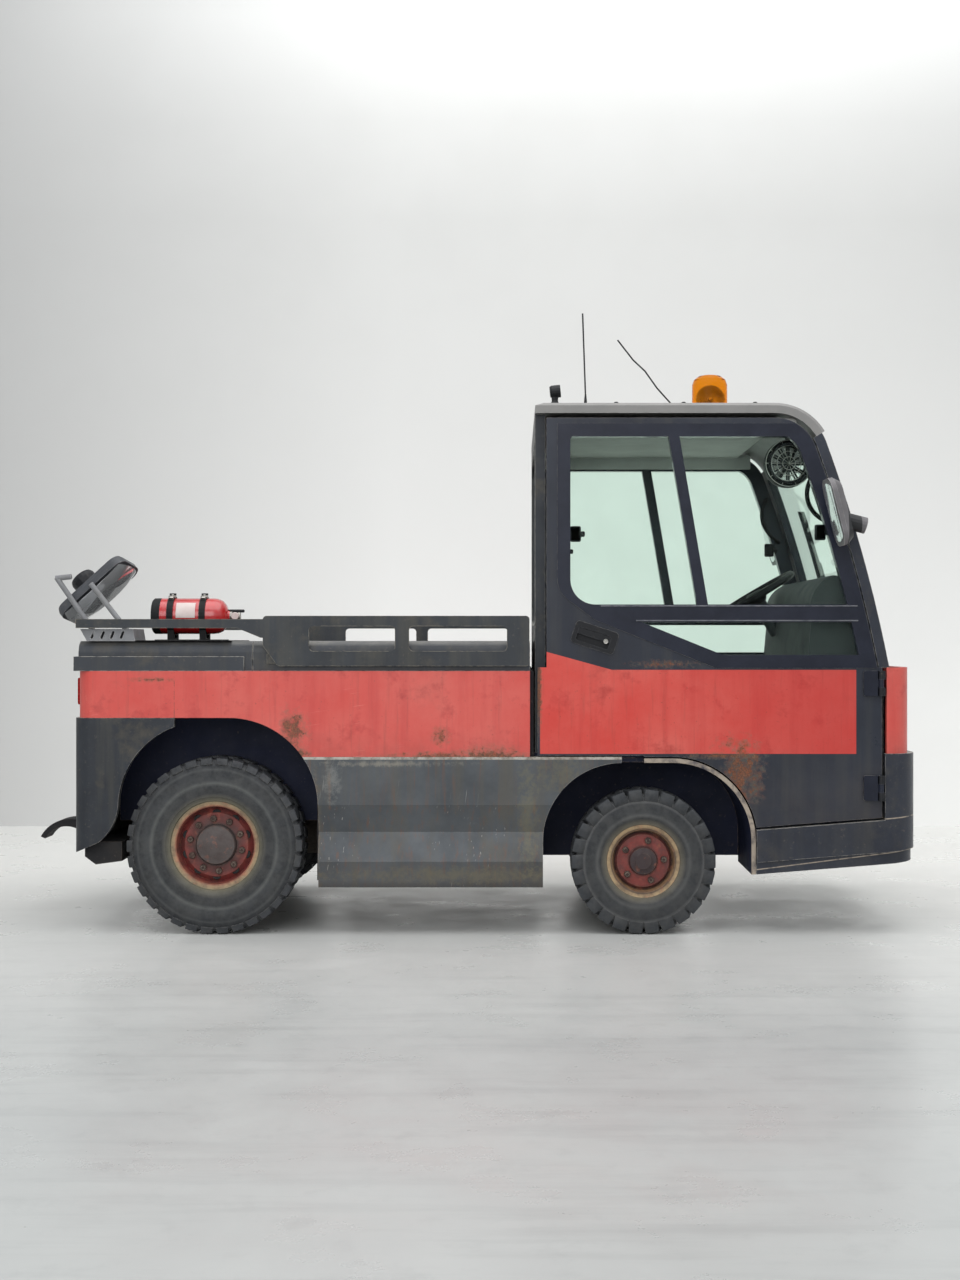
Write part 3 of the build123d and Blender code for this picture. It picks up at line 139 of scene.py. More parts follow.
def makePatch():
    # a worn patch round a place on the side, eaten in at its rim
    group, given, out = newGroup("wornPatch", {"X": 0.0, "Z": 0.0, "Long": 0.1, "High": 0.1, "Scale": 40.0,
                                               "Cover": 0.42}, ("Mask", "Halo"))
    place = objectPlace(group)
    parts = split(group, place)
    along = sums(group, "DIVIDE", sums(group, "SUBTRACT", parts["X"], given["X"]), given["Long"])
    up = sums(group, "DIVIDE", sums(group, "SUBTRACT", parts["Z"], given["Z"]), given["High"])
    square = sums(group, "ADD", times(group, along, along), times(group, up, up))
    spots = sums(group, "SUBTRACT", noise(group, place, given["Scale"], 10.0, 0.78), 0.54)
    inside = sums(group, "SUBTRACT", given["Cover"], sums(group, "SQRT", square))
    level = sums(group, "ADD", inside, times(group, spots, 4.8))
    near = between(group, square, 1.6, 0.9)
    group.links.new(times(group, between(group, level, 0.0, 0.25), near), out["Mask"])
    group.links.new(times(group, between(group, level, -0.7, 0.3), near), out["Halo"])
    return group


def makeScratches():
    group, given, out = newGroup("scratches", {"Across": 240.0, "Lean": 0.2})
    place = put(group, "ShaderNodeTexCoord").outputs["Object"]
    leant = put(group, "ShaderNodeVectorRotate", ("Vector", place), ("Angle", given["Lean"]),
                rotation_type="Y_AXIS").outputs[0]
    thin = put(group, "ShaderNodeMapping", ("Vector", leant), ("Scale", (0.025, 1, 1))).outputs[0]
    lines = between(group, noise(group, thin, given["Across"], 1.0, 0.4), 0.71, 0.74)
    zone = between(group, noise(group, place, 5.0, 3.0, 0.5), 0.50, 0.62)
    group.links.new(times(group, lines, zone), out["Mask"])
    return group


def makeGrain():
    group, given, out = newGroup("fineGrain", {"Scale": 900.0, "Depth": 1.0}, ("Height",))
    grain = noise(group, objectPlace(group), given["Scale"], 2.0, 0.5)
    group.links.new(times(group, grain, given["Depth"]), out["Height"])
    return group


# pale tone on up-facing faces: dust, and painted light from above
def makeTopDustAndLight():
    group, given, out = newGroup("topDustAndLight", {"From": 0.55, "To": 0.85, "Scale": 14.0})
    facing = put(group, "ShaderNodeNewGeometry").outputs["Normal"]
    up = between(group, split(group, facing)["Z"], given["From"], given["To"])
    spots = between(group, noise(group, objectPlace(group), given["Scale"], 6.0, 0.6), 0.25, 0.60, 0.45, 1.0)
    group.links.new(times(group, up, spots, True), out["Mask"])
    return group


effects = {"grime": makeSpots("grime", 6.0, 0.42, 0.62, (1, 1, 1), 8.0, 0.66), "topDustAndLight": makeTopDustAndLight(),
           "edgeWearAndHighlight": makeEdgeWearAndHighlight(), "groundDust": makeGroundDust(),
           "runStreaks": makeSpots("runStreaks", 24.0, 0.52, 0.70, (1, 1, 0.06), 6.0, 0.6),
           "wornPatch": makePatch(), "scratches": makeScratches(), "fineGrain": makeGrain()}


def effect(tree, name, output="Mask", **values):
    node = tree.nodes.new("ShaderNodeGroup")
    node.node_tree = effects[name]
    for label, value in values.items():
        node.inputs[label].default_value = value
    return node.outputs[output]


def layer(tree, base, tone, amount, name, **values):
    # a tone over the base wherever an effect shows
    mask = effect(tree, name, **values)
    return mixed(tree, times(tree, mask, amount), base, colour(*tone))


def spotted(tree, low, high, **values):
    return between(tree, effect(tree, "grime", **values), 0.0, 1.0, low, high)


print("effects made:", ", ".join(effects))


# finishes

def newFinish(name):
    material = bpy.data.materials.new(name)
    material.use_nodes = True
    return material, material.node_tree, material.node_tree.nodes["Principled BSDF"]


def close(tree, shader, base, rough, height=None, depth=0.0003):
    tree.links.new(base, shader.inputs["Base Color"])
    tree.links.new(rough, shader.inputs["Roughness"])
    if height is not None:
        bump = put(tree, "ShaderNodeBump", ("Height", height), ("Distance", depth), ("Strength", 0.7))
        tree.links.new(bump.outputs[0], shader.inputs["Normal"])


def fixed(shader, values):
    for socket, value in values.items():
        shader.inputs[socket].default_value = value


# plain finishes: two tones, pale edges that are partly wear and partly a painted highlight, dust that gathers low
# down, up-facing faces made pale by dust and by painted light from above, fine grain
finishes = {
    "charcoalPaint": dict(tone=(45, 49, 55), second=(33, 36, 42), rough=0.42, worn=(150, 146, 138), runs=0.45,
                          top=0.6, sheen=0.35),
    "frontPaint": dict(tone=(46, 50, 60), second=(35, 38, 47), rough=0.36, worn=(160, 156, 150), runs=0.2,
                       top=0.7, sheen=0.35),
    "deckPaint": dict(tone=(50, 54, 60), second=(44, 47, 53), rough=0.42, worn=(170, 166, 158), runs=0.35,
                      top=0.25, sheen=0.4),
    "railPaint": dict(tone=(48, 52, 57), second=(39, 42, 46), rough=0.46, worn=(150, 142, 126), runs=0.45,
                      top=0.95, sheen=0.4),
    "archPaint": dict(tone=(24, 30, 54), second=(18, 23, 42), rough=0.62, worn=(128, 112, 98), sheen=0.3),
    "chassisBlack": dict(tone=(22, 24, 30), second=(28, 29, 32), rough=0.7, worn=(72, 64, 58), dust=0.1, sheen=0.3),
    "castAxle": dict(tone=(48, 46, 45), second=(62, 54, 47), rough=0.75, worn=(104, 94, 86), dust=0.4),
    "roofPaint": dict(tone=(130, 128, 126), second=(120, 119, 117), rough=0.46, worn=(160, 160, 158)),
    # headliner grey lightened past its own tone: painted light inside the shaded cab
    "linerGreyPaintedLight": dict(tone=(222, 222, 218), second=(204, 204, 200), rough=0.7, worn=(226, 226, 224)),
    "dashGrey": dict(tone=(74, 77, 79), second=(60, 63, 66), rough=0.6, worn=(120, 120, 120), grain=500),
    "greyCast": dict(tone=(126, 127, 130), second=(102, 103, 106), rough=0.5, worn=(176, 175, 172), runs=0.3),
    "blackPlastic": dict(tone=(17, 18, 22), second=(24, 25, 29), rough=0.46, worn=(70, 70, 73), grain=700, sheen=0.3),
    "blackRubber": dict(tone=(18, 19, 21), second=(27, 27, 28), rough=0.68, worn=(52, 52, 52), grain=500, sheen=0.3),
    "mirrorShell": dict(tone=(66, 68, 73), second=(52, 54, 58), rough=0.45, worn=(118, 118, 120), grain=800),
    "mirrorGrey": dict(tone=(112, 109, 111), second=(90, 88, 90), rough=0.5, worn=(176, 172, 172), grain=800),
    "alloyTrim": dict(tone=(96, 98, 106), second=(72, 74, 80), rough=0.4, worn=(160, 160, 164), metal=0.6),
    "bareSteel": dict(tone=(176, 174, 170), second=(136, 130, 122), rough=0.3, worn=(206, 204, 200), metal=0.9),
    "floorMat": dict(tone=(26, 26, 28), second=(36, 36, 36), rough=0.82, worn=(60, 58, 56), grain=300, sheen=0.3),
    "bottleRed": dict(tone=(190, 24, 28), second=(168, 18, 24), rough=0.16, worn=(120, 90, 84), coat=0.8),
    "labelPaper": dict(tone=(218, 208, 204), second=(200, 178, 174), rough=0.4, worn=(190, 186, 180)),
    "nutSteel": dict(tone=(44, 34, 33), second=(70, 52, 46), rough=0.62, worn=(142, 126, 112), metal=0.4),
}
# the top tone is laid on up-facing faces, as dust and as painted light from above
soils = {"run": (84, 80, 68), "stain": (92, 84, 68), "speck": (120, 108, 94), "top": (188, 185, 178),
         "road": (122, 110, 96)}


def makeFinish(name, tone, second, rough, worn, coat=0.0, dust=0.0, metal=0.0, grain=1200, runs=0.0, top=0.0,
               sheen=0.5):
    material, tree, shader = newFinish(name)
    base = layer(tree, colour(*tone), second, 1.0, "grime", Scale=5.0, From=0.35, To=0.66)
    if runs:
        base = layer(tree, base, soils["run"], runs, "runStreaks", Scale=16.0, From=0.46, To=0.74)
        base = layer(tree, base, soils["stain"], runs, "grime", Scale=7.0, From=0.54, To=0.70)
    # pale edges: wear, and a painted highlight along the edges
    base = layer(tree, base, worn, 1.0, "edgeWearAndHighlight", Radius=0.003, Gain=9.0, Scale=45.0)
    base = layer(tree, base, soils["speck"], 0.3, "grime", Scale=70.0, From=0.60, To=0.72)
    # up-facing faces paler: dust, and painted light from above
    if top:
        base = layer(tree, base, soils["top"], top, "topDustAndLight")
    if dust:
        base = layer(tree, base, soils["road"], dust, "groundDust", Top=0.85, Bottom=0.2)
    shine = spotted(tree, rough - 0.07, rough + 0.12, Scale=11.0, From=0.3, To=0.7)
    close(tree, shader, base, shine, effect(tree, "fineGrain", "Height", Scale=grain))
    fixed(shader, {"Coat Weight": coat, "Coat Roughness": 0.12, "Metallic": metal, "Specular IOR Level": sheen})
    return material


looks = {name: makeFinish(name, **values) for name, values in finishes.items()}

# red sheet metal with peeled, rusting places along its lower edge
# patches are (x, z, half length, half height, grain, cover)
redSide = {"tone": (200, 66, 58), "faded": (206, 92, 82), "deep": (176, 44, 43), "soil": (112, 62, 52),
           "primer": (112, 106, 92), "rust": (138, 82, 56), "crust": (82, 56, 42), "scratch": (226, 150, 140),
           "patches": ((0.03, 0.652, 0.34, 0.030, 38.0, 0.75), (0.13, 0.655, 0.13, 0.050, 46.0, 0.75),
                       (-0.115, 0.650, 0.045, 0.030, 60.0, 0.9), (-0.060, 0.738, 0.040, 0.040, 40.0, 0.6),
                       (-0.600, 0.760, 0.060, 0.100, 30.0, 0.6), (-0.585, 0.672, 0.050, 0.018, 60.0, 0.8),
                       (-1.120, 0.945, 0.10, 0.010, 70.0, 0.5))}
redLayers = (("faded", 1.0, "grime", 2.2, 0.36, 0.66), ("deep", 1.0, "grime", 9.0, 0.55, 0.78),
             ("deep", 0.5, "runStreaks", 18.0, 0.50, 0.80), ("soil", 0.28, "runStreaks", 70.0, 0.56, 0.78),
             ("soil", 0.45, "grime", 4.5, 0.56, 0.80), ("soil", 0.6, "grime", 90.0, 0.64, 0.70))


def redTone(tree):
    base = colour(*redSide["tone"])
    for tone, amount, name, scale, low, high in redLayers:
        base = layer(tree, base, redSide[tone], amount, name, Scale=scale, From=low, To=high)
    return base


def rusted(tree, base, rough, patches, look=redSide):
    height = effect(tree, "fineGrain", "Height", Scale=1400)
    for x, z, long, high, scale, cover in patches:
        spot = {"X": x, "Z": z, "Long": long, "High": high, "Scale": scale, "Cover": cover}
        halo, bare = (effect(tree, "wornPatch", part, **spot) for part in ("Halo", "Mask"))
        mottle = layer(tree, colour(*look["rust"]), look["primer"], 1.0, "grime", Scale=60.0, From=0.36, To=0.60)
        base = mixed(tree, times(tree, halo, 0.6), base, mottle)
        flakes = layer(tree, colour(*look["crust"]), look["rust"], 1.0, "grime", Scale=150.0, From=0.40, To=0.60)
        base = mixed(tree, times(tree, bare, 0.75), base, flakes)
        rough = mixedValue(tree, halo, rough, 0.85)
        height = sums(tree, "SUBTRACT", height, times(tree, bare, 2.5))
    return base, rough, height


def makeRedSide():
    material, tree, shader = newFinish("redSide")
    base = layer(tree, redTone(tree), redSide["crust"], 1.0, "edgeWearAndHighlight", Radius=0.003, Gain=7.0, Scale=50.0)
    base = layer(tree, base, redSide["soil"], 0.5, "groundDust", Top=0.76, Bottom=0.62, Scale=16.0)
    shine = spotted(tree, 0.34, 0.52, Scale=7.0, From=0.3, To=0.7)
    base, shine, height = rusted(tree, base, shine, redSide["patches"])
    base = layer(tree, base, redSide["scratch"], 0.5, "scratches", Across=260.0, Lean=0.15)
    close(tree, shader, base, shine, height, 0.0005)
    fixed(shader, {"Coat Weight": 0.12, "Coat Roughness": 0.2})
    return material


# door: a red band on charcoal, and a black glossy border round the panes
doorBand = {"rear": 0.306, "front": 1.472, "low": 0.671, "high": 0.981, "tip": 1.054, "slope": 0.2755,
            "skin": 0.6385, "border": 0.6412, "frontShadeX": (0.75, 1.35),
            "dark": (43, 47, 57), "darker": (33, 36, 45), "worn": (136, 132, 128), "run": (80, 78, 70),
            "road": (112, 98, 84), "black": (19, 23, 37), "dusty": (28, 32, 46),
            "patches": ((1.060, 0.600, 0.080, 0.130, 26.0, 0.60), (0.302, 0.90, 0.012, 0.16, 60.0, 0.8),
                        (1.02, 0.700, 0.11, 0.060, 26.0, 0.10), (0.98, 0.664, 0.16, 0.014, 60.0, 0.6),
                        (0.76, 1.002, 0.16, 0.020, 70.0, 0.30))}


def makeDoorFinish():
    material, tree, shader = newFinish("doorFinish")
    place = split(tree, objectPlace(tree))
    drop = times(tree, sums(tree, "SUBTRACT", place["X"], doorBand["rear"]), doorBand["slope"])
    head = sums(tree, "MAXIMUM", sums(tree, "SUBTRACT", doorBand["tip"], drop), doorBand["high"])
    out = sums(tree, "ABSOLUTE", place["Y"])
    band = sums(tree, "LESS_THAN", place["Z"], head)
    for value, operation, limit in ((place["Z"], "GREATER_THAN", "low"), (place["X"], "GREATER_THAN", "rear"),
                                    (place["X"], "LESS_THAN", "front"), (out, "GREATER_THAN", "skin")):
        band = times(tree, band, sums(tree, operation, value, doorBand[limit]))
    border = sums(tree, "GREATER_THAN", out, doorBand["border"])
    dark = layer(tree, colour(*doorBand["dark"]), doorBand["darker"], 1.0, "grime", Scale=4.0, From=0.35, To=0.7)
    # pale door edges: wear, and a painted highlight along the edges
    dark = layer(tree, dark, doorBand["worn"], 1.0, "edgeWearAndHighlight", Radius=0.0025, Gain=7.0, Scale=45.0)
    dark = layer(tree, dark, doorBand["run"], 0.3, "runStreaks", Scale=16.0, From=0.48, To=0.76)
    dark = layer(tree, dark, doorBand["road"], 0.16, "groundDust", Top=0.75, Bottom=0.35, Scale=7.0)
    # the red band darkens towards the front: painted shade
    frontShade = times(tree, between(tree, place["X"], *doorBand["frontShadeX"]), 0.45)
    base = mixed(tree, band, dark, mixed(tree, frontShade, redTone(tree), colour(*redSide["deep"])))
    shine = spotted(tree, 0.26, 0.44, Scale=7.0, From=0.3, To=0.7)
    base, shine, height = rusted(tree, base, shine, doorBand["patches"])
    black = layer(tree, colour(*doorBand["black"]), doorBand["dusty"], 1.0, "grime", Scale=8.0)
    base = mixed(tree, border, base, black)
    close(tree, shader, base, mixedValue(tree, border, shine, 0.3), height, 0.0004)
    fixed(shader, {"Specular IOR Level": 0.28, "Coat Weight": 0.06, "Coat Roughness": 0.12})
    return material


# lower skirts: grey steel with brown runs and scuffs, stains are (x, z, half length, half height, tone)
skirtSteel = {"tone": (84, 88, 92), "second": (66, 70, 74), "run": (88, 82, 70), "scuff": (142, 140, 136),
              "rust": (112, 72, 46), "road": (84, 76, 68), "foot": (50, 47, 43), "footZ": (0.205, 0.170),
              "lip": 0.650, "lipWearAndHighlightTones": ((176, 172, 164), (120, 112, 102)), "primer": (128, 120, 108),
              "stains": ((0.385, 0.600, 0.10, 0.09, (104, 98, 78)), (0.262, 0.45, 0.045, 0.26, (112, 106, 82)),
                         (0.02, 0.225, 0.60, 0.035, (112, 104, 82)), (-0.46, 0.58, 0.035, 0.10, (132, 132, 128)),
                         (-0.25, 0.635, 0.30, 0.012, (150, 144, 130)), (-0.515, 0.35, 0.02, 0.28, (96, 84, 66))),
              "patches": ((-0.47, 0.56, 0.012, 0.10, 60.0, 0.15), (-0.522, 0.42, 0.014, 0.20, 60.0, 0.5))}


def makeSkirt():
    look = skirtSteel
    material, tree, shader = newFinish("skirtSteel")
    base = layer(tree, colour(*look["tone"]), look["second"], 1.0, "grime", Scale=3.0, From=0.35, To=0.65)
    base = layer(tree, base, look["run"], 0.6, "runStreaks", Scale=20.0, From=0.46, To=0.70)
    base = layer(tree, base, look["rust"], 0.45, "runStreaks", Scale=75.0, From=0.55, To=0.72)
    base = layer(tree, base, look["scuff"], 1.0, "scratches", Across=200.0, Lean=1.45)
    base = layer(tree, base, look["scuff"], 1.0, "edgeWearAndHighlight", Radius=0.004, Gain=9.0, Scale=35.0)
    base = layer(tree, base, look["road"], 0.5, "groundDust", Top=0.30, Bottom=0.16, Scale=8.0)
    up = split(tree, objectPlace(tree))["Z"]
    base = mixed(tree, times(tree, between(tree, up, *look["footZ"]), 0.7), base, colour(*look["foot"]))
    # pale band along the top lip: wear, and a painted highlight where the lip catches the light
    bright, dull = look["lipWearAndHighlightTones"]
    lip = between(tree, up, look["lip"], look["lip"] + 0.001)
    base = mixed(tree, lip, base, layer(tree, colour(*bright), dull, 1.0, "grime", Scale=30.0))
    shine = spotted(tree, 0.34, 0.55, Scale=6.0, From=0.3, To=0.7)
    for x, z, long, high, tone in look["stains"]:
        base = layer(tree, base, tone, 0.5, "wornPatch", output="Halo", X=x, Z=z, Long=long, High=high,
                     Scale=34.0, Cover=0.5)
    base, shine, height = rusted(tree, base, shine, look["patches"], dict(redSide, primer=look["primer"]))
    close(tree, shader, base, shine, height, 0.0005)
    fixed(shader, {"Metallic": 0.25})
    return material


# bands of tone along a distance, given as (distance, tone) up to the span
def ringed(tree, reach, stops, span=0.4):
    ramp = put(tree, "ShaderNodeValToRGB", (0, sums(tree, "DIVIDE", reach, span)))
    points = ramp.color_ramp.elements
    points.remove(points[1])
    points[0].position, points[0].color = stops[0][0] / span, colour(*stops[0][1])
    for distance, tone in stops[1:]:
        points.new(distance / span).color = colour(*tone)
    return ramp.outputs[0]


def wheelRings(tree, centre, stops, scale, detail, stray):
    # rings round a wheel's axle that wander a little
    place = put(tree, "ShaderNodeTexCoord").outputs["Object"]
    shifted = put(tree, "ShaderNodeMapping", ("Vector", place), ("Location", (-centre.x, 0, -centre.z)),
                  ("Scale", (1, 0, 1))).outputs[0]
    reach = put(tree, "ShaderNodeVectorMath", (0, shifted), operation="LENGTH").outputs["Value"]
    wander = times(tree, sums(tree, "SUBTRACT", noise(tree, place, scale, detail), 0.5), stray)
    return place, ringed(tree, sums(tree, "ADD", reach, wander), stops)


def makeTyre(name, centre, stops):
    material, tree, shader = newFinish(name)
    # the tyre's rings of tone include painted highlights on its raised rings
    place, base = wheelRings(tree, centre, stops, 9.0, 4.0, 0.006)
    base = layer(tree, base, (78, 77, 73), 0.35, "grime", Scale=22.0, From=0.40, To=0.75)
    base = layer(tree, base, (30, 32, 35), 0.4, "grime", Scale=6.0, From=0.45, To=0.70)
    base = layer(tree, base, (116, 114, 110), 0.5, "edgeWearAndHighlight", Radius=0.004, Gain=6.0, Scale=90.0)
    height = sums(tree, "ADD", times(tree, noise(tree, place, 120.0, 4.0), 0.8),
                  effect(tree, "fineGrain", "Height", Scale=420))
    close(tree, shader, base, spotted(tree, 0.55, 0.85, Scale=30.0), height, 0.0006)
    return material


# rims: rust-red disc, dark hub and a tan lip
def makeRim(name, centre, stops):
    material, tree, shader = newFinish(name)
    place, base = wheelRings(tree, centre, stops, 30.0, 5.0, 0.004)
    base = layer(tree, base, (58, 44, 42), 0.55, "grime", Scale=24.0, From=0.42, To=0.62)
    base = layer(tree, base, (178, 104, 76), 0.35, "grime", Scale=34.0, From=0.56, To=0.70)
    base = layer(tree, base, (160, 130, 102), 0.6, "edgeWearAndHighlight", Radius=0.003, Gain=5.0, Scale=60.0)
    height = sums(tree, "ADD", noise(tree, place, 160.0, 6.0), effect(tree, "fineGrain", "Height", Scale=900))
    close(tree, shader, base, spotted(tree, 0.45, 0.78, Scale=40.0, From=0.3, To=0.7), height, 0.0006)
    return material


def makeGlass():
    material, tree, shader = newFinish("paneGlass")
    film = effect(tree, "grime", Scale=3.0, From=0.40, To=0.75)
    dirty = mixed(tree, times(tree, film, 0.10), colour(240, 252, 246), colour(176, 184, 178))
    close(tree, shader, dirty, between(tree, film, 0.0, 1.0, 0.01, 0.05))
    fixed(shader, {"Transmission Weight": 1.0, "IOR": 1.10})
    return material


def makeLens(name, deep, light, glow, clear, ribbed=True):
    material, tree, shader = newFinish(name)
    place = objectPlace(tree)
    if ribbed:
        ribs = put(tree, "ShaderNodeTexWave", ("Vector", place), ("Scale", 26.0), bands_direction="Z").outputs["Fac"]
    else:
        ribs = noise(tree, place, 9.0)
    base = mixed(tree, ribs, colour(*deep), colour(*light))
    tree.links.new(base, shader.inputs["Emission Color"])
    close(tree, shader, base, spotted(tree, 0.08, 0.22, Scale=20.0), ribs, 0.0012)
    fixed(shader, {"Emission Strength": glow, "Transmission Weight": clear, "IOR": 1.12})
    return material


def makeMirrorFace():
    material, tree, shader = newFinish("mirrorFace")
    film = effect(tree, "grime", Scale=14.0, From=0.45, To=0.75)
    base = mixed(tree, times(tree, film, 0.4), colour(226, 228, 230), colour(186, 185, 182))
    close(tree, shader, base, between(tree, film, 0.0, 1.0, 0.05, 0.25))
    fixed(shader, {"Metallic": 0.72})
    return material


def makeVinyl():
    material, tree, shader = newFinish("seatVinyl")
    place = objectPlace(tree)
    cells = put(tree, "ShaderNodeTexVoronoi", ("Vector", place), ("Scale", 420.0),
                feature="DISTANCE_TO_EDGE").outputs["Distance"]
    creases = noise(tree, place, 14.0, 5.0)
    base = layer(tree, colour(34, 35, 38), (54, 54, 57), 1.0, "grime", Scale=9.0, From=0.35, To=0.7)
    height = sums(tree, "ADD", times(tree, cells, 0.6), times(tree, creases, 0.6))
    close(tree, shader, base, between(tree, creases, 0.3, 0.7, 0.42, 0.62), height, 0.0012)
    return material


looks.update({"redSide": makeRedSide(), "doorFinish": makeDoorFinish(), "skirtSteel": makeSkirt(),
              "paneGlass": makeGlass(), "mirrorFace": makeMirrorFace(),
              "amberLens": makeLens("amberLens", (236, 132, 18), (250, 160, 36), 0.0, 0.92, False),
              "redLens": makeLens("redLens", (150, 16, 18), (190, 34, 30), 0.05, 0.4),
              "clearLens": makeLens("clearLens", (208, 212, 214), (236, 238, 238), 0.0, 0.5),
              "seatVinyl": makeVinyl()})

# pale lines: a pale line on the rolled lip of the wheel arches, and painted highlights along the front bumper's top
# edge and crease
# lines are (foot, slope, start, half width), and the dark sleeve is on the door mirror's arm
wornLines = {"lip": 0.003, "tone": (158, 146, 132), "sleeve": (1.405, 1.466), "sleeveTone": (26, 27, 30),
             "lines": ((0.395, 0.0757, 1.086, 0.0028), (0.243, 0.1268, 1.097, 0.0026))}


def opened(name):
    tree = looks[name].node_tree
    return tree, split(tree, objectPlace(tree))


def painted(tree, mask, tone):
    base = tree.nodes["Principled BSDF"].inputs["Base Color"]
    tree.links.new(mixed(tree, mask, base.links[0].from_socket, colour(*tone)), base)


def addMirrorSleeve():
    tree, place = opened("mirrorGrey")
    start, end = wornLines["sleeve"]
    sleeve = times(tree, sums(tree, "GREATER_THAN", place["X"], start), sums(tree, "LESS_THAN", place["X"], end))
    painted(tree, sleeve, wornLines["sleeveTone"])


def addArchLip():
    tree, place = opened("archPaint")
    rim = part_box("arch_liners")[1].y - wornLines["lip"]
    lip = sums(tree, "GREATER_THAN", sums(tree, "ABSOLUTE", place["Y"]), rim)
    painted(tree, times(tree, lip, effect(tree, "grime", Scale=24.0, From=0.30, To=0.55)), wornLines["tone"])


def addBumperHighlights():
    tree, place = opened("frontPaint")
    # painted highlights along the bumper's top edge and its crease
    for foot, slope, start, half in wornLines["lines"]:
        line = sums(tree, "ADD", times(tree, sums(tree, "SUBTRACT", place["X"], start), slope), foot)
        near = between(tree, sums(tree, "ABSOLUTE", sums(tree, "SUBTRACT", place["Z"], line)), half, half * 0.5)
        painted(tree, times(tree, near, effect(tree, "grime", Scale=30.0, From=0.32, To=0.52)), wornLines["tone"])


addMirrorSleeve()
addArchLip()
addBumperHighlights()

# which finish each node of the frame wears
nodeLooks = {
    "redSide": ("side_panels", "tail_panel", "front_cowl"),
    "doorFinish": ("door_panel_left", "door_panel_right"),
    "charcoalPaint": ("rear_bumper", "cab_rear_wall"),
    "frontPaint": ("front_bumper", "cab_front_frame"),
    "deckPaint": ("front_deck_cover", "rear_deck_cover"),
    "railPaint": ("deck_rails",),
    "roofPaint": ("cab_roof",),
    "skirtSteel": ("side_skirts",),
    "archPaint": ("arch_liners", "cab_floor", "battery_block"),
    "chassisBlack": ("chassis_frame", "tow_coupling"),
    "castAxle": ("drive_axle", "front_axle", "knuckle_left", "knuckle_right", "tie_rod"),
    "dashGrey": ("dashboard",),
    "blackPlastic": ("pedals", "steering_wheel", "door_handle_left", "door_handle_right", "beacon_base",
                     "wiper", "antennas", "work_lamp", "coupling_lamp", "cab_fan", "door_hinges", "seats"),
    "mirrorShell": ("coupling_mirror",),
    "mirrorGrey": ("door_mirror_left", "door_mirror_right"),
    "greyCast": ("coupling_mirror_stand",),
    "blackRubber": ("front_tyre_left", "front_tyre_right", "rear_tyre_left", "rear_tyre_right",
                    "extinguisher_cradle"),
    "nutSteel": ("front_rim_left", "front_rim_right", "rear_rim_left", "rear_rim_right"),
    "bottleRed": ("fire_extinguisher",),
    "paneGlass": ("cab_glass", "door_glass_left", "door_glass_right"),
    "amberLens": ("beacon_lens",),
    "redLens": ("tail_lamps",),
    "clearLens": ("headlamps",),
}
for look, names in nodeLooks.items():
    for name in names:
        nodes[name].data.materials.clear()
        nodes[name].data.materials.append(looks[look])
print("finishes on:", sum(len(names) for names in nodeLooks.values()), "nodes")


# modelling helpers

unmoved = Matrix.Identity(4)


def alone(piece=None):
    bpy.ops.object.select_all(action="DESELECT")
    if piece:
        piece.select_set(True)
        bpy.context.view_layer.objects.active = piece


def made(name):
    piece = bpy.context.object
    piece.name = name
    return piece


def editAll():
    bpy.ops.object.mode_set(mode="EDIT")
    bpy.ops.mesh.select_all(action="SELECT")


def editDone():
    bpy.ops.object.mode_set(mode="OBJECT")


def lathe(name, profile, steps, place=unmoved):
    # a closed outline of (radius, height) points, spun round Z and then put in its place
    alone()
    bpy.ops.mesh.primitive_circle_add(vertices=len(profile), fill_type="NOTHING")
    piece = made(name)
    for vertex, (radius, height) in zip(piece.data.vertices, profile):
        vertex.co = (radius, 0, height)
    editAll()
    bpy.ops.mesh.spin(steps=steps, angle=2 * pi, center=(0, 0, 0), axis=(0, 0, 1))
    bpy.ops.mesh.select_all(action="SELECT")
    bpy.ops.mesh.remove_doubles(threshold=0.00002)
    bpy.ops.mesh.dissolve_degenerate(threshold=0.00002)
    bpy.ops.mesh.normals_make_consistent(inside=False)
    editDone()
    piece.data.transform(place)
    return piece


def slab(name, size, place, rounding=0.004, segments=2):
    alone()
    bpy.ops.mesh.primitive_cube_add(size=1)
    piece = made(name)
    piece.data.transform(Matrix.Diagonal((*size, 1)))
    editAll()
    bpy.ops.mesh.bevel(offset=rounding, segments=segments, affect="EDGES")
    editDone()
    piece.data.transform(place)
    return piece


def thickened(piece, thickness=0.0012, offset=-1):
    alone(piece)
    wall = piece.modifiers.new("wall", "SOLIDIFY")
    wall.thickness, wall.offset = thickness, offset
    bpy.ops.object.modifier_apply(modifier="wall")
    return piece


def copied(piece, name, place):
    twin = bpy.data.objects.new(name, piece.data.copy())
    bpy.context.collection.objects.link(twin)
    twin.data.transform(place)
    return twin


def joined(name, pieces):
    alone(pieces[0])
    for piece in pieces:
        piece.select_set(True)
    bpy.ops.object.join()
    pieces[0].name = name
    return pieces[0]


def faced(piece, look, body, angle):
    alone(piece)
    bpy.ops.object.shade_smooth_by_angle(angle=radians(angle))
    piece.data.materials.clear()
    piece.data.materials.append(look)
    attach(piece, body)
    return piece


def moved(x, y, z):
    return Matrix.Translation((x, y, z))


def turned(degrees, axis):
    return Matrix.Rotation(radians(degrees), 4, axis)


def middle(name):
    low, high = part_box(name)
    return (low + high) / 2, (high - low) / 2
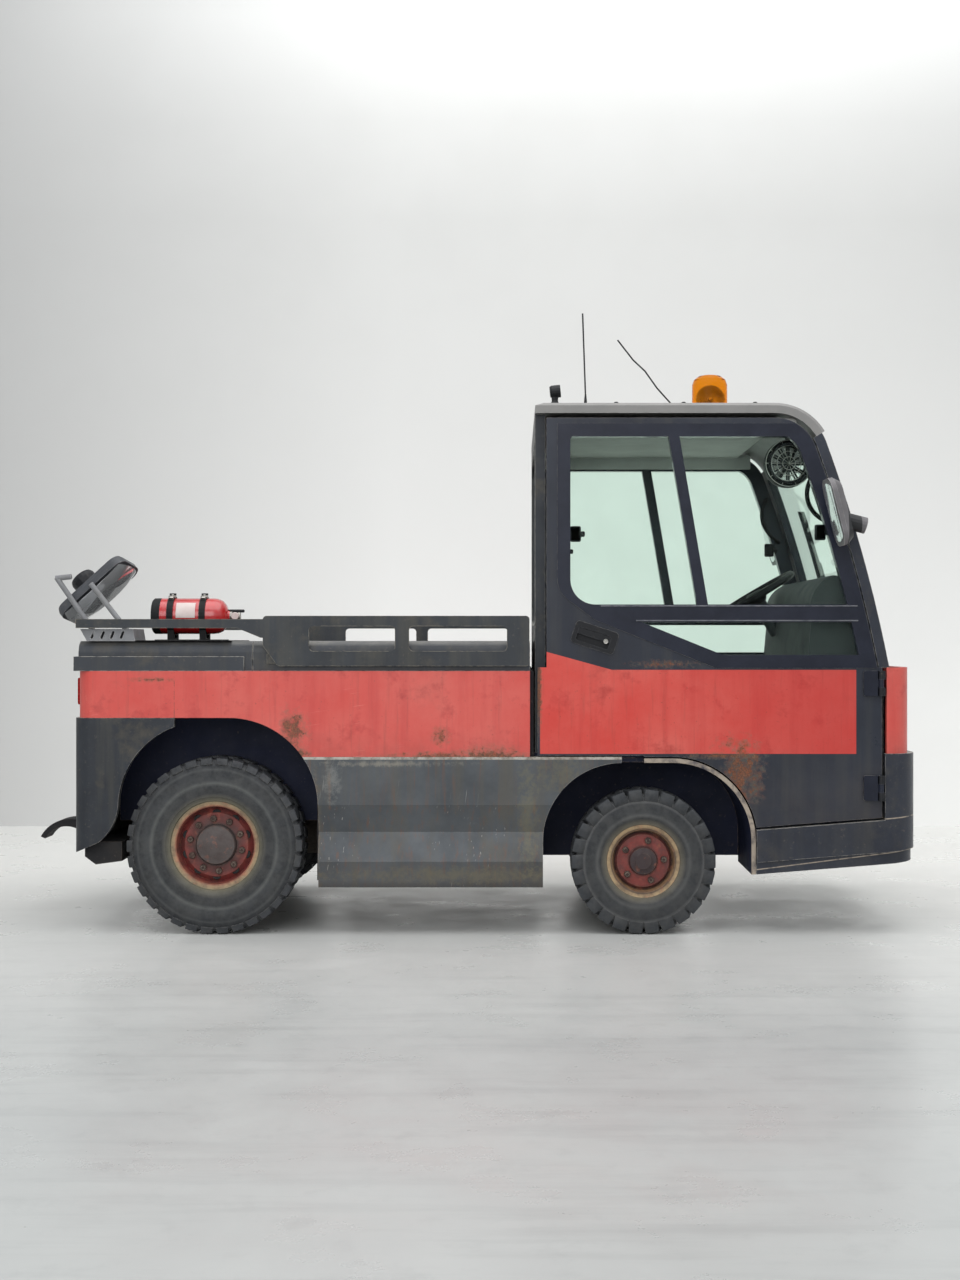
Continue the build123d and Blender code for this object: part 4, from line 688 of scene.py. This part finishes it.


# wheels: lugged tyres on dished steel rims, their rings of tone as (distance from the axle, tone); on the tyres the
# pale narrow rings are painted highlights of raised rings
wheelLooks = {
    "front": {"rim": 0.134, "lugs": 26, "gap": 0.010, "depth": 0.020, "side": 0.044, "reach": 0.50, "lean": 0.016,
              "nuts": 5, "nutTurn": -4, "nutRing": 0.077, "hub": 0.052, "hubOut": 0.030, "dish": 0.030, "holes": 0,
              "rubberRingsAndHighlights": ((0.130, (104, 96, 78)), (0.150, (84, 81, 73)), (0.160, (46, 47, 48)),
                         (0.172, (72, 73, 73)), (0.182, (46, 48, 50)), (0.214, (40, 42, 45)),
                         (0.221, (74, 75, 76)), (0.227, (38, 40, 43)), (0.270, (54, 57, 61))),
              "paint": ((0.048, (50, 38, 40)), (0.053, (74, 40, 39)), (0.060, (128, 54, 47)),
                        (0.096, (116, 48, 43)), (0.107, (54, 36, 34)), (0.113, (146, 114, 82)),
                        (0.120, (72, 56, 42)), (0.124, (150, 126, 94)), (0.131, (166, 142, 108)),
                        (0.150, (140, 120, 90)))},
    "rear": {"rim": 0.163, "lugs": 34, "gap": 0.014, "depth": 0.010, "side": 0.024, "reach": 0.42, "lean": 0.010,
             "nuts": 10, "nutTurn": 12, "nutRing": 0.098, "hub": 0.074, "hubOut": 0.030, "dish": 0.042, "holes": 10,
             "rubberRingsAndHighlights": ((0.160, (106, 100, 80)), (0.180, (80, 78, 70)), (0.196, (42, 43, 45)),
                        (0.222, (44, 46, 48)), (0.233, (80, 82, 81)), (0.243, (54, 56, 58)),
                        (0.276, (38, 40, 43)), (0.284, (60, 62, 63)), (0.291, (40, 42, 45)),
                        (0.330, (56, 58, 62))),
             "paint": ((0.070, (78, 70, 68)), (0.076, (42, 37, 37)), (0.084, (90, 48, 44)),
                       (0.118, (126, 56, 50)), (0.140, (112, 42, 42)), (0.146, (140, 84, 64)),
                       (0.151, (160, 128, 98)), (0.162, (146, 130, 102)), (0.180, (126, 114, 90)))},
}
nutSize = {"radius": 0.0135, "tall": 0.012, "lift": 0.004}
handHole = {"inset": 0.049, "sunk": 0.003,
            "outline": [(0, 0.0035), (0.016, 0.0035), (0.018, 0.001), (0.018, 0), (0, 0)]}


def tyreOutline(radius, half, look):
    tread, rim = radius - look["depth"], look["rim"]
    wall = tread - rim
    side = [(rim - 0.002, -half * 0.72), (rim + 0.004, -half * 0.84), (rim + 0.016, -half * 0.88),
            (rim + 0.020, -half * 0.93), (rim + 0.30 * wall, -half * 0.985), (rim + 0.34 * wall, -half * 0.975),
            (rim + 0.55 * wall, -half), (rim + 0.75 * wall, -half * 0.985), (tread - 0.012, -half * 0.93),
            (tread, -half * 0.80), (tread + 0.002, 0)]
    return side + [(r, -h) for r, h in reversed(side[:-1])]


def makeLug(radius, half, look):
    # a rounded block bent to the tread: z grows outwards, y from the shoulder to the middle
    wide = 2 * pi * radius / look["lugs"] - look["gap"]
    lug = slab("lug", (1, 1, 1), unmoved, 0.07, 2)
    low, deep = radius - look["side"], look["reach"] * half
    for vertex in lug.data.vertices:
        x, y, z = vertex.co
        up = low + (z + 0.5) * (radius - low)
        flank = 1 - 0.06 * (z + 0.5)
        across = half * flank * (0.5 - y) + (half - deep) * 0.4 * (0.5 + y) - (0.5 + y) * 0.25 * deep
        side = x * wide * (0.90 + 0.10 * (0.5 - z)) + (0.5 + y) * look["lean"]
        vertex.co = (((up - 0.002 * (0.5 - y)) ** 2 - side * side) ** 0.5, side, across)
    return lug


def makeTyrePiece(look, name, place, radius, half):
    pieces = [lathe(name, tyreOutline(radius, half, look), 96)]
    lug = makeLug(radius, half, look)
    flip = Matrix.Scale(-1, 4, (0, 0, 1))
    turn = 360 / look["lugs"]
    for index in range(look["lugs"]):
        pieces.append(copied(lug, "lugNear", turned(index * turn, "Z")))
        pieces.append(copied(lug, "lugFar", turned((index + 0.5) * turn, "Z") @ flip))
    bpy.data.objects.remove(lug)
    tyre = joined(name, pieces)
    alone(tyre)
    editAll()
    bpy.ops.mesh.normals_make_consistent(inside=False)
    editDone()
    tyre.data.transform(place)
    return tyre


def rimOutline(look, half):
    rim, hub, ring = look["rim"], look["hub"], look["nutRing"]
    face = half - look["dish"]
    cap = face + look["hubOut"]
    return [(0, cap), (hub * 0.55, cap), (hub * 0.72, cap - 0.006), (hub * 0.94, cap - 0.008), (hub, cap - 0.014),
            (hub * 1.05, face + 0.006), (ring + 0.020, face + 0.003), (rim - 0.038, face - 0.004),
            (rim - 0.026, face - 0.012), (rim - 0.022, face - 0.002), (rim - 0.018, half * 0.86),
            (rim - 0.010, half * 0.90), (rim + 0.010, half * 0.905), (rim + 0.014, half * 0.93),
            (rim + 0.012, half * 0.955), (rim + 0.004, half * 0.93), (rim - 0.004, half * 0.80),
            (rim - 0.006, -half * 0.80), (rim + 0.012, -half * 0.93), (rim + 0.006, -half * 0.95),
            (rim - 0.014, -half * 0.86), (rim - 0.022, face - 0.03), (0, face - 0.03)]


def makeNut(name):
    radius, tall = nutSize["radius"], nutSize["tall"]
    alone()
    bpy.ops.mesh.primitive_cylinder_add(vertices=6, radius=radius, depth=tall, location=(0, 0, tall / 2))
    nut = made(name)
    editAll()
    bpy.ops.mesh.bevel(offset=radius * 0.16, segments=1, affect="EDGES")
    editDone()
    nut.data.transform(moved(0, 0, tall / 2))
    top, thread = tall * 1.6, radius * 0.5
    stud = lathe("stud", [(0, top), (radius * 0.42, top), (thread, tall * 1.5), (thread, 0), (0, 0)], 12)
    washer = lathe("washer", [(0, 0.003), (radius * 1.3, 0.003), (radius * 1.4, 0), (0, 0)], 16)
    return joined(name, [nut, stud, washer])


def makeRimPieces(look, name, place, half, out):
    rim = lathe(name, rimOutline(look, half), 72, place)
    face = half - look["dish"]
    nut = makeNut(name + "Nut")
    nuts = [copied(nut, name + "Nuts", place @ turned(out * look["nutTurn"] + 360 * k / look["nuts"], "Z")
                   @ moved(look["nutRing"], 0, face + nutSize["lift"])) for k in range(look["nuts"])]
    bpy.data.objects.remove(nut)
    sunk = moved(look["rim"] - handHole["inset"], 0, face - handHole["sunk"])
    holes = [lathe(name + "Hole", handHole["outline"], 20, place @ turned(360 * (k + 0.5) / look["holes"], "Z") @ sunk)
             for k in range(look["holes"])]
    return rim, joined(name + "Nuts", nuts), holes


def addWheel(kind, side, out):
    look, body = wheelLooks[kind], f"{kind}_wheel_{side}"
    tyreNode, rimNode = f"{kind}_tyre_{side}", f"{kind}_rim_{side}"
    centre, reach = middle(tyreNode)
    rimReach = middle(rimNode)[1]
    place = moved(*centre) @ turned(90 * -out, "X")
    tyre = makeTyrePiece(look, f"{kind}Tyre_{side}", place, reach.z, reach.y)
    faced(tyre, makeTyre(f"{kind}Rubber_{side}", centre, look["rubberRingsAndHighlights"]), body, 38)
    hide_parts(tyreNode)
    rim, nuts, holes = makeRimPieces(look, f"{kind}Rim_{side}", place, rimReach.y, out)
    faced(rim, makeRim(f"{kind}RimPaint_{side}", centre, look["paint"]), body, 30)
    faced(nuts, looks["nutSteel"], body, 30)
    for hole in holes:
        faced(hole, looks["chassisBlack"], body, 30)
    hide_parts(rimNode)


for kind in wheelLooks:
    for side, out in sides:
        addWheel(kind, side, out)
print("wheels made")

# fire extinguisher: pressed bottle, black boot, valve, strap clamps and a blank label
# clamps are (name, size, y and z from the bottle's top, turn, rounding)
bottle = {"boot": 0.034, "label": (0.098, 0.172), "labelTurn": (-6, 46), "labelGap": 0.0003, "paper": 0.0006,
          "straps": (0.074, 0.198),
          "clamps": (("clampLever", (0.026, 0.034, 0.010), -0.010, 0.006, 12, 0.003),
                     ("clampHook", (0.018, 0.016, 0.018), -0.036, -0.002, 35, 0.003),
                     ("clampBolt", (0.010, 0.040, 0.006), 0.010, 0.012, 0, 0.002))}


def addBottle():
    low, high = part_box("fire_extinguisher")
    centre = (low + high) / 2
    radius, long, boot = (high.z - low.z) / 2 - 0.0005, high.x - low.x, bottle["boot"]
    place = moved(low.x, centre.y, centre.z) @ turned(90, "Y")
    shell = [(0, 0.004), (radius * 0.70, 0.004), (radius * 0.90, 0.008), (radius * 0.985, 0.020), (radius, 0.036),
             (radius, long * 0.66), (radius * 0.97, long * 0.715), (radius * 0.86, long * 0.765),
             (radius * 0.62, long * 0.805), (radius * 0.34, long * 0.825), (radius * 0.30, long * 0.845),
             (0, long * 0.845)]
    body = faced(lathe("bottleShell", shell, 56, place), looks["bottleRed"], "tug", 40)
    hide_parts("fire_extinguisher")
    cup = [(0, 0), (radius * 0.92, 0), (radius, 0.006), (radius, boot), (radius * 0.9, boot), (0, 0.02)]
    faced(lathe("bottleBoot", cup, 56, place), looks["blackRubber"], "tug", 40)
    neck = [(0, long * 0.83), (0.020, long * 0.83), (0.021, long * 0.87), (0.015, long * 0.885),
            (0.015, long * 0.93), (0.018, long * 0.935), (0.018, long * 0.955), (0, long * 0.955)]
    faced(lathe("bottleNeck", neck, 24, place), looks["bareSteel"], "tug", 30)
    lever = slab("bottleLever", (0.012, 0.020, 0.088), place @ moved(-0.020, 0, long * 0.875))
    grip = slab("bottleGrip", (0.010, 0.018, 0.080), place @ moved(0.030, 0, long * 0.90) @ turned(-14, "Y"))
    faced(joined("bottleLevers", [lever, grip]), looks["blackPlastic"], "tug", 30)
    dial = [(0, 0.010), (0.013, 0.010), (0.015, 0.007), (0.015, 0), (0, 0)]
    dialPlace = place @ moved(0, -0.016, long * 0.905) @ turned(90, "X")
    faced(lathe("bottleDial", dial, 24, dialPlace), looks["labelPaper"], "tug", 30)


def addBottleTrim():
    low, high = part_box("fire_extinguisher")
    centre = (low + high) / 2
    clamps = [slab(name, size, moved(low.x + x, centre.y + y, high.z + z) @ turned(turn, "X"), rounding)
              for x in bottle["straps"] for name, size, y, z, turn, rounding in bottle["clamps"]]
    faced(joined("bottleClamps", clamps), looks["bareSteel"], "tug", 35)
    x0, x1 = bottle["label"]
    start, end = (radians(v) for v in bottle["labelTurn"])
    reach = (high.z - low.z) / 2 + bottle["labelGap"]
    alone()
    bpy.ops.mesh.primitive_grid_add(x_subdivisions=4, y_subdivisions=24, size=2)
    label = made("bottleLabel")
    for vertex in label.data.vertices:
        along, turn = (vertex.co.x + 1) / 2, start + (vertex.co.y + 1) / 2 * (end - start)
        vertex.co = (low.x + x0 + along * (x1 - x0), centre.y - reach * cos(turn), centre.z + reach * sin(turn))
    faced(thickened(label, bottle["paper"], 0), looks["labelPaper"], "tug", 60)


addBottle()
addBottleTrim()
print("bottle made")

# padded seats, swollen by a short cloth run
seatLook = {"backX": 0.520, "ahead": 0.110, "y": 0.280, "half": 0.230, "base": 0.086, "deck": 0.6743,
            "cushion": (0.460, 0.110), "back": (0.335, 0.085), "lean": -11.5, "voxel": 0.006, "pressure": 4.0,
            "frames": 20, "cap": 0.014}


def swollen(piece):
    alone(piece)
    remesh = piece.modifiers.new("remesh", "REMESH")
    remesh.mode = "VOXEL"
    remesh.voxel_size = seatLook["voxel"]
    bpy.ops.object.modifier_apply(modifier="remesh")
    before = [vertex.co.copy() for vertex in piece.data.vertices]
    cloth = piece.modifiers.new("cloth", "CLOTH")
    cloth.settings.use_pressure = True
    cloth.settings.uniform_pressure_force = seatLook["pressure"]
    cloth.settings.effector_weights.gravity = 0
    for step in range(1, seatLook["frames"] + 1):
        bpy.context.scene.frame_set(step)
    alone(piece)
    bpy.ops.object.modifier_apply(modifier="cloth")
    bpy.context.scene.frame_set(1)
    for vertex, old in zip(piece.data.vertices, before):
        step = vertex.co - old
        if step.length > seatLook["cap"]:
            vertex.co = old + step * (seatLook["cap"] / step.length)


def puffed(piece):
    swollen(piece)
    alone(piece)
    fine = piece.modifiers.new("smooth", "SUBSURF")
    fine.levels = fine.render_levels = 1
    bpy.ops.object.modifier_apply(modifier="smooth")
    return piece


def addSeat(y, side):
    x, base = seatLook["backX"] + seatLook["ahead"], seatLook["base"]
    long, tall = seatLook["cushion"]
    high, thick = seatLook["back"]
    wide, top = 2 * seatLook["half"], seatLook["deck"] + base
    plinth = slab(f"seatBase_{side}", (long - 0.06, wide - 0.08, base),
                  moved(x + long / 2, y, seatLook["deck"] + base / 2), 0.012, 3)
    faced(plinth, looks["blackPlastic"], "tug", 35)
    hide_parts("seats")
    cushion = slab(f"seatCushion_{side}", (long - 0.024, wide - 0.024, tall - 0.016),
                   moved(x + long / 2, y, top + tall / 2 - 0.001), 0.030, 4)
    faced(puffed(cushion), looks["seatVinyl"], "tug", 60)
    foot = top + tall + 0.004
    back = slab(f"seatBack_{side}", (thick - 0.022, wide - 0.034, high - 0.030),
                moved(x - 0.030, y, foot + high / 2 - 0.012) @ turned(seatLook["lean"], "Y"), 0.024, 4)
    faced(puffed(back), looks["seatVinyl"], "tug", 60)


for side, out in sides:
    addSeat(out * seatLook["y"], side)
print("seats made")


def plate(name, long, wide, corner, bulge, place):
    # a mirror glass in XY: round-cornered, a little convex
    alone()
    bpy.ops.mesh.primitive_grid_add(x_subdivisions=20, y_subdivisions=20, size=2)
    piece = made(name)
    for vertex in piece.data.vertices:
        u, v = vertex.co.x, vertex.co.y
        vertex.co = (long / 2 * u * (1 - corner * v * v / 2) ** 0.5,
                     wide / 2 * v * (1 - corner * u * u / 2) ** 0.5, bulge * (1 - (u * u + v * v) / 2))
    piece.data.transform(place)
    return thickened(piece)


def tube(name, points, radius):
    alone()
    bpy.ops.curve.primitive_nurbs_path_add()
    piece = made(name)
    spline = piece.data.splines[0]
    spline.points.add(len(points) - len(spline.points))
    for point, place in zip(spline.points, points):
        point.co = (*place, 1)
    piece.data.bevel_depth = radius
    piece.data.bevel_resolution = 3
    piece.data.use_fill_caps = True
    bpy.ops.object.convert(target="MESH")
    return bpy.context.object


# mirrors: a glass in the coupling mirror, one in each door mirror's back
# sizes are (long, wide, corner, bulge)
mirrorGlass = {"coupling": {"centre": (-1.353, -0.525, 1.280), "tilt": 42.4, "yaw": 14.0, "front": 0.0171,
                            "size": (0.306, 0.181, 0.42, 0.022)},
               "door": {"centre": (1.380, 0.760, 1.555), "tilt": 14.0, "back": 0.0163,
                        "size": (0.146, 0.216, 0.55, 0.006)}}


def addMirrorGlass(name, look, place, body):
    faced(plate(name, *look["size"], place), looks["mirrorFace"], body, 30)


def addMirrors():
    look = mirrorGlass["coupling"]
    turn = radians(look["tilt"])
    axes = Matrix(((cos(turn), 0, sin(turn), 0), (0, -1, 0, 0), (sin(turn), 0, -cos(turn), 0), (0, 0, 0, 1)))
    place = moved(*look["centre"]) @ axes @ turned(-look["yaw"], "X") @ moved(0, 0, look["front"])
    addMirrorGlass("couplingMirrorGlass", look, place, "tug")
    look = mirrorGlass["door"]
    x, y, z = look["centre"]
    turn = radians(look["tilt"])
    axes = Matrix(((0, sin(turn), -cos(turn), 0), (1, 0, 0, 0), (0, -cos(turn), -sin(turn), 0), (0, 0, 0, 1)))
    for side, out in sides:
        place = moved(x, out * y, z) @ axes @ moved(0, 0, look["back"])
        addMirrorGlass(f"doorMirrorGlass_{side}", look, place, f"door_{side}")


addMirrors()

# small fittings of each door: window latches, grab handle, lock, window channel trim
# latches and lock are at (x, z), channels run from x to x at a height
doorBits = {"glassIn": 0.616, "latch": (0.040, 0.022, 0.058), "latches": ((0.438, 1.484), (1.345, 1.490)),
            "tab": (0.018, 0.030, 0.020), "lock": (0.548, 1.086), "lockY": 0.6448, "grabRadius": 0.0085,
            "barrel": [(0, 0.004), (0.005, 0.004), (0.0055, 0.003), (0.0085, 0.0045), (0.009, 0.003), (0.009, 0),
                       (0, 0)],
            "grab": ((1.333, 0.606, 1.716), (1.322, 0.575, 1.706), (1.300, 0.552, 1.66), (1.304, 0.548, 1.60),
                     (1.335, 0.555, 1.555), (1.372, 0.575, 1.532), (1.388, 0.606, 1.526)),
            "channel": ((0.53, 1.476, 1.2165), (0.66, 1.478, 1.1625)), "channelY": 0.6438}


def addDoorBits(side, out):
    body = f"door_{side}"
    bits = []
    y = doorBits["glassIn"] - doorBits["latch"][1] / 2
    for x, z in doorBits["latches"]:
        bits.append(slab("latch", doorBits["latch"], moved(x, out * y, z), 0.006, 3))
        bits.append(slab("latchTab", doorBits["tab"], moved(x + 0.026, out * (y - 0.006), z), 0.005, 2))
    faced(joined(f"windowLatches_{side}", bits), looks["blackPlastic"], body, 35)
    grab = tube(f"grabHandle_{side}", [(x, out * y, z) for x, y, z in doorBits["grab"]], doorBits["grabRadius"])
    faced(grab, looks["blackRubber"], body, 60)
    x, z = doorBits["lock"]
    lockPlace = moved(x, out * doorBits["lockY"], z) @ turned(-90 * out, "X")
    lock = lathe(f"doorLock_{side}", doorBits["barrel"], 24, lockPlace)
    faced(lock, looks["bareSteel"], body, 30)
    strips = [slab("channel", (x1 - x0, 0.003, 0.0045), moved((x0 + x1) / 2, out * doorBits["channelY"], z), 0.001, 1)
              for x0, x1, z in doorBits["channel"]]
    faced(joined(f"windowChannel_{side}", strips), looks["alloyTrim"], body, 30)


for side, out in sides:
    addDoorBits(side, out)
print("door fittings made")

# headlamps: a dark bezel round a stepped bright bowl
headlamp = {"side": 0.430, "bezel": 0.0725}


def addHeadlamps():
    low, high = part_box("headlamps")
    r, height = headlamp["bezel"], (low.z + high.z) / 2
    inner, deep = r - 0.009, low.x - high.x
    ring = [(inner, deep), (r - 0.0015, deep), (r - 0.0015, -0.006), (r - 0.004, -0.001), (r - 0.007, 0),
            (inner, -0.003)]
    bowl = [(0, -0.004), (0.010, -0.0045), (0.014, -0.008), (0.016, -0.014), (0.034, -0.012), (0.036, -0.010),
            (0.050, -0.007), (0.052, -0.005), (inner, -0.003), (inner, deep), (0, deep)]
    for side, out in sides:
        place = moved(high.x, out * headlamp["side"], height) @ turned(90, "Y")
        faced(lathe(f"headlampBezel_{side}", ring, 48, place), looks["blackPlastic"], "tug", 40)
        face = faced(lathe(f"headlampBowl_{side}", bowl, 48, place), looks["mirrorFace"], "tug", 25)
        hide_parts("headlamps")


addHeadlamps()
print("headlamps made")

# fan guard: bright wire rings and spokes on both faces of the cage
fanGuard = {"rings": (0.087, 0.066, 0.045, 0.024), "wire": 0.0016, "spokes": 10, "spoke": 0.0022, "inset": 0.002}


def addFanGuard():
    centre, half = middle("cab_fan")
    long, thin = fanGuard["rings"][0], fanGuard["spoke"]
    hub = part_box("cab_fan")[0].z + half.x
    parts = []
    for out in (1, -1):
        face = moved(centre.x, centre.y + out * (half.y - fanGuard["inset"]), hub) @ turned(90, "X")
        for ring in fanGuard["rings"]:
            alone()
            bpy.ops.mesh.primitive_torus_add(major_radius=ring, minor_radius=fanGuard["wire"], major_segments=40,
                                             minor_segments=6)
            wire = bpy.context.object
            wire.data.transform(face)
            parts.append(wire)
        for k in range(fanGuard["spokes"]):
            place = face @ turned(360 * k / fanGuard["spokes"], "Z") @ moved(long / 2, 0, 0)
            parts.append(slab("fanSpoke", (long, thin, thin), place, 0.0006, 1))
    faced(joined("fanGuard", parts), looks["bareSteel"], "tug", 60)


addFanGuard()
print("fan guard made")

# cab lining: pale headliner, its tone lightened as painted light inside the shaded cab, with a valance over each door,
# roof bolts, deck mat
lining = {"x": (0.345, 1.200), "half": 0.590, "z": 1.905, "sheet": 0.008, "valance": (0.585, 0.597, 1.848, 1.915),
          "ahead": 0.06, "bolts": (0.589, 0.839, 1.104), "boltY": 0.606,
          "bolt": [(0, 0.007), (0.005, 0.007), (0.008, 0.005), (0.0085, 0.001), (0.011, 0.0008), (0.011, 0), (0, 0)],
          "mat": (-1.365, -0.835, -0.640, -0.215, 0.003)}


def addLining():
    x0, x1 = lining["x"]
    sheet, ahead = lining["sheet"], lining["ahead"]
    parts = [slab("headlinerPanel", (x1 - x0, 2 * lining["half"], sheet),
                  moved((x0 + x1) / 2, 0, lining["z"] - sheet / 2), 0.003, 2)]
    inner, outer, low, high = lining["valance"]
    for out in (1, -1):
        place = moved((x0 + x1 + ahead) / 2, out * (inner + outer) / 2, (low + high) / 2)
        parts.append(slab("valance", (x1 - x0 + ahead, outer - inner, high - low), place, 0.005, 2))
    faced(joined("headliner", parts), looks["linerGreyPaintedLight"], "tug", 35)
    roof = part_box("cab_roof")[1].z
    heads = [lathe("roofBolt", lining["bolt"], 12, moved(x, out * lining["boltY"], roof))
             for x in lining["bolts"] for out in (1, -1)]
    faced(joined("roofBolts", heads), looks["chassisBlack"], "tug", 40)
    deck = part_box("rear_deck_cover")[1].z
    x0, x1, y0, y1, thick = lining["mat"]
    mat = slab("deckMat", (x1 - x0, y1 - y0, thick),
               moved((x0 + x1) / 2, (y0 + y1) / 2, deck + thick / 2), 0.001, 2)
    faced(mat, looks["floorMat"], "tug", 30)


addLining()
print("lining made")

# beacon: a dished reflector and lamp inside the amber dome
beacon = {"dish": 0.056, "deep": 0.022, "up": 0.078, "lamp": 0.009,
          "stalk": [(0, -0.02), (0.012, -0.02), (0.014, 0.03), (0, 0.03)]}


def addBeacon():
    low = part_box("beacon_lens")[0]
    centre = middle("beacon_lens")[0]
    r, deep, bulb = beacon["dish"], beacon["deep"], beacon["lamp"]
    dish = [(0, 0), (r * 0.35, deep * 0.12), (r * 0.7, deep * 0.5), (r, deep), (r * 1.02, deep),
            (r * 0.72, deep * 0.42), (r * 0.36, deep * 0.02), (0, -deep * 0.1)]
    place = moved(centre.x, centre.y - 0.004, low.z + beacon["up"]) @ turned(90, "X")
    bowl = lathe("beaconDish", dish, 40, place)
    stalk = lathe("beaconStalk", beacon["stalk"], 16, moved(centre.x, centre.y + 0.012, low.z + 0.022))
    lamp = lathe("beaconLamp", [(0, 0), (bulb, 0), (bulb, 0.018), (bulb * 0.6, 0.026), (0, 0.028)], 16, place)
    faced(joined("beaconWorks", [bowl, stalk, lamp]), looks["bareSteel"], "tug", 40)


addBeacon()
print("beacon made")

# camera as in the photograph: level, square to the right side
viewPoint = {"place": (0.210, -6.65, 1.091), "lens": 45.84, "sensor": 36.0, "shift": -34 / 1280}


def addCamera():
    alone()
    bpy.ops.object.camera_add(location=viewPoint["place"], rotation=(radians(90), 0, 0))
    camera = made("sideCamera")
    camera.data.lens = viewPoint["lens"]
    camera.data.sensor_width = viewPoint["sensor"]
    camera.data.sensor_fit = "AUTO"
    camera.data.shift_x = viewPoint["shift"]
    bpy.context.scene.camera = camera


addCamera()
print("camera set")

# hall: pale polished floor, a pale wall behind, soft light from above; the floor's lighter back and the wall's tones
# carry painted light and shade
# wall tones are (height, grey), lights are (name, place, aim, size, power)
hall = {"size": 60, "floor": (186, 188, 186), "floorMark": (174, 176, 175), "scuff": (140, 143, 143),
        "far": (226, 226, 222), "farY": (-2.2, 1.2), "wallY": 2.9, "wallSpan": 5.0, "wallMark": (214, 214, 211),
        "wallLeftShade": (176, 176, 175), "wallLeftShadeX": (-0.5, -3.5), "air": (0.86, 0.88, 0.90, 1), "world": 1.0,
        "wall": ((0.0, 250), (0.7, 245), (1.56, 230), (2.26, 218), (2.97, 209), (3.55, 203), (4.14, 214),
                 (4.75, 240)),
        "lights": (("topSoftbox", (0.4, -1.2, 5.6), (0.2, 0.2, 0), 6.0, 230),
                   ("frontFill", (-1.5, -7.5, 3.2), (0, 0, 0.9), 4.0, 110))}


def addPlane(name, place, tilt=0):
    alone()
    bpy.ops.mesh.primitive_plane_add(size=hall["size"], location=place, rotation=(radians(tilt), 0, 0))
    plane = made(name)
    material, tree, shader = newFinish(name)
    plane.data.materials.append(material)
    return plane, tree, shader, split(tree, put(tree, "ShaderNodeNewGeometry").outputs["Position"])


def addFloor():
    floor, tree, shader, place = addPlane("hallFloor", (0, -20, 0))
    base = layer(tree, colour(*hall["floor"]), hall["floorMark"], 1.0, "grime", Scale=0.8, From=0.3, To=0.7)
    base = layer(tree, base, hall["scuff"], 0.25, "grime", Scale=9.0, From=0.55, To=0.75)
    brushed = between(tree, noise(tree, objectPlace(tree, (0.18, 1.6, 1)), 7.0, 7.0, 0.65), 0.50, 0.72)
    base = mixed(tree, times(tree, brushed, 0.3), base, colour(*hall["scuff"]))
    # floor lighter towards the back: painted light
    base = mixed(tree, between(tree, place["Y"], *hall["farY"]), base, colour(*hall["far"]))
    close(tree, shader, base, spotted(tree, 0.22, 0.42, Scale=3.0, From=0.3, To=0.7))


def addWall():
    # clear from behind, so that views from the far side see the part
    wall, tree, shader, place = addPlane("hallWall", (0, hall["wallY"], 0), 90)
    tones = [(z, (tone, tone, tone - 2)) for z, tone in hall["wall"]]
    # wall tones by height: painted light and shade, copying how the light falls on the wall
    base = ringed(tree, place["Z"], tones, hall["wallSpan"])
    base = layer(tree, base, hall["wallMark"], 0.2, "grime", Scale=0.4, From=0.3, To=0.7)
    along = split(tree, objectPlace(tree))["X"]
    # wall darker towards the left: painted shade
    base = mixed(tree, between(tree, along, *hall["wallLeftShadeX"]), base, colour(*hall["wallLeftShade"]))
    close(tree, shader, base, spotted(tree, 0.6, 0.8, Scale=2.0))
    clear = put(tree, "ShaderNodeBsdfTransparent").outputs[0]
    behind = put(tree, "ShaderNodeNewGeometry").outputs["Backfacing"]
    both = put(tree, "ShaderNodeMixShader", (0, behind), (1, shader.outputs[0]), (2, clear)).outputs[0]
    tree.links.new(both, tree.nodes["Material Output"].inputs["Surface"])


def addLights():
    world = bpy.data.worlds.new("hallAir")
    bpy.context.scene.world = world
    world.use_nodes = True
    fixed(world.node_tree.nodes["Background"], {"Color": hall["air"], "Strength": hall["world"]})
    for name, place, aim, size, power in hall["lights"]:
        bpy.ops.object.light_add(type="AREA", location=place)
        lamp = made(name)
        lamp.data.size = size
        lamp.data.energy = power
        lamp.rotation_euler = (Vector(aim) - Vector(place)).to_track_quat("-Z", "Y").to_euler()


addFloor()
addWall()
addLights()
bpy.context.scene.view_settings.view_transform = "Standard"
print("hall set")
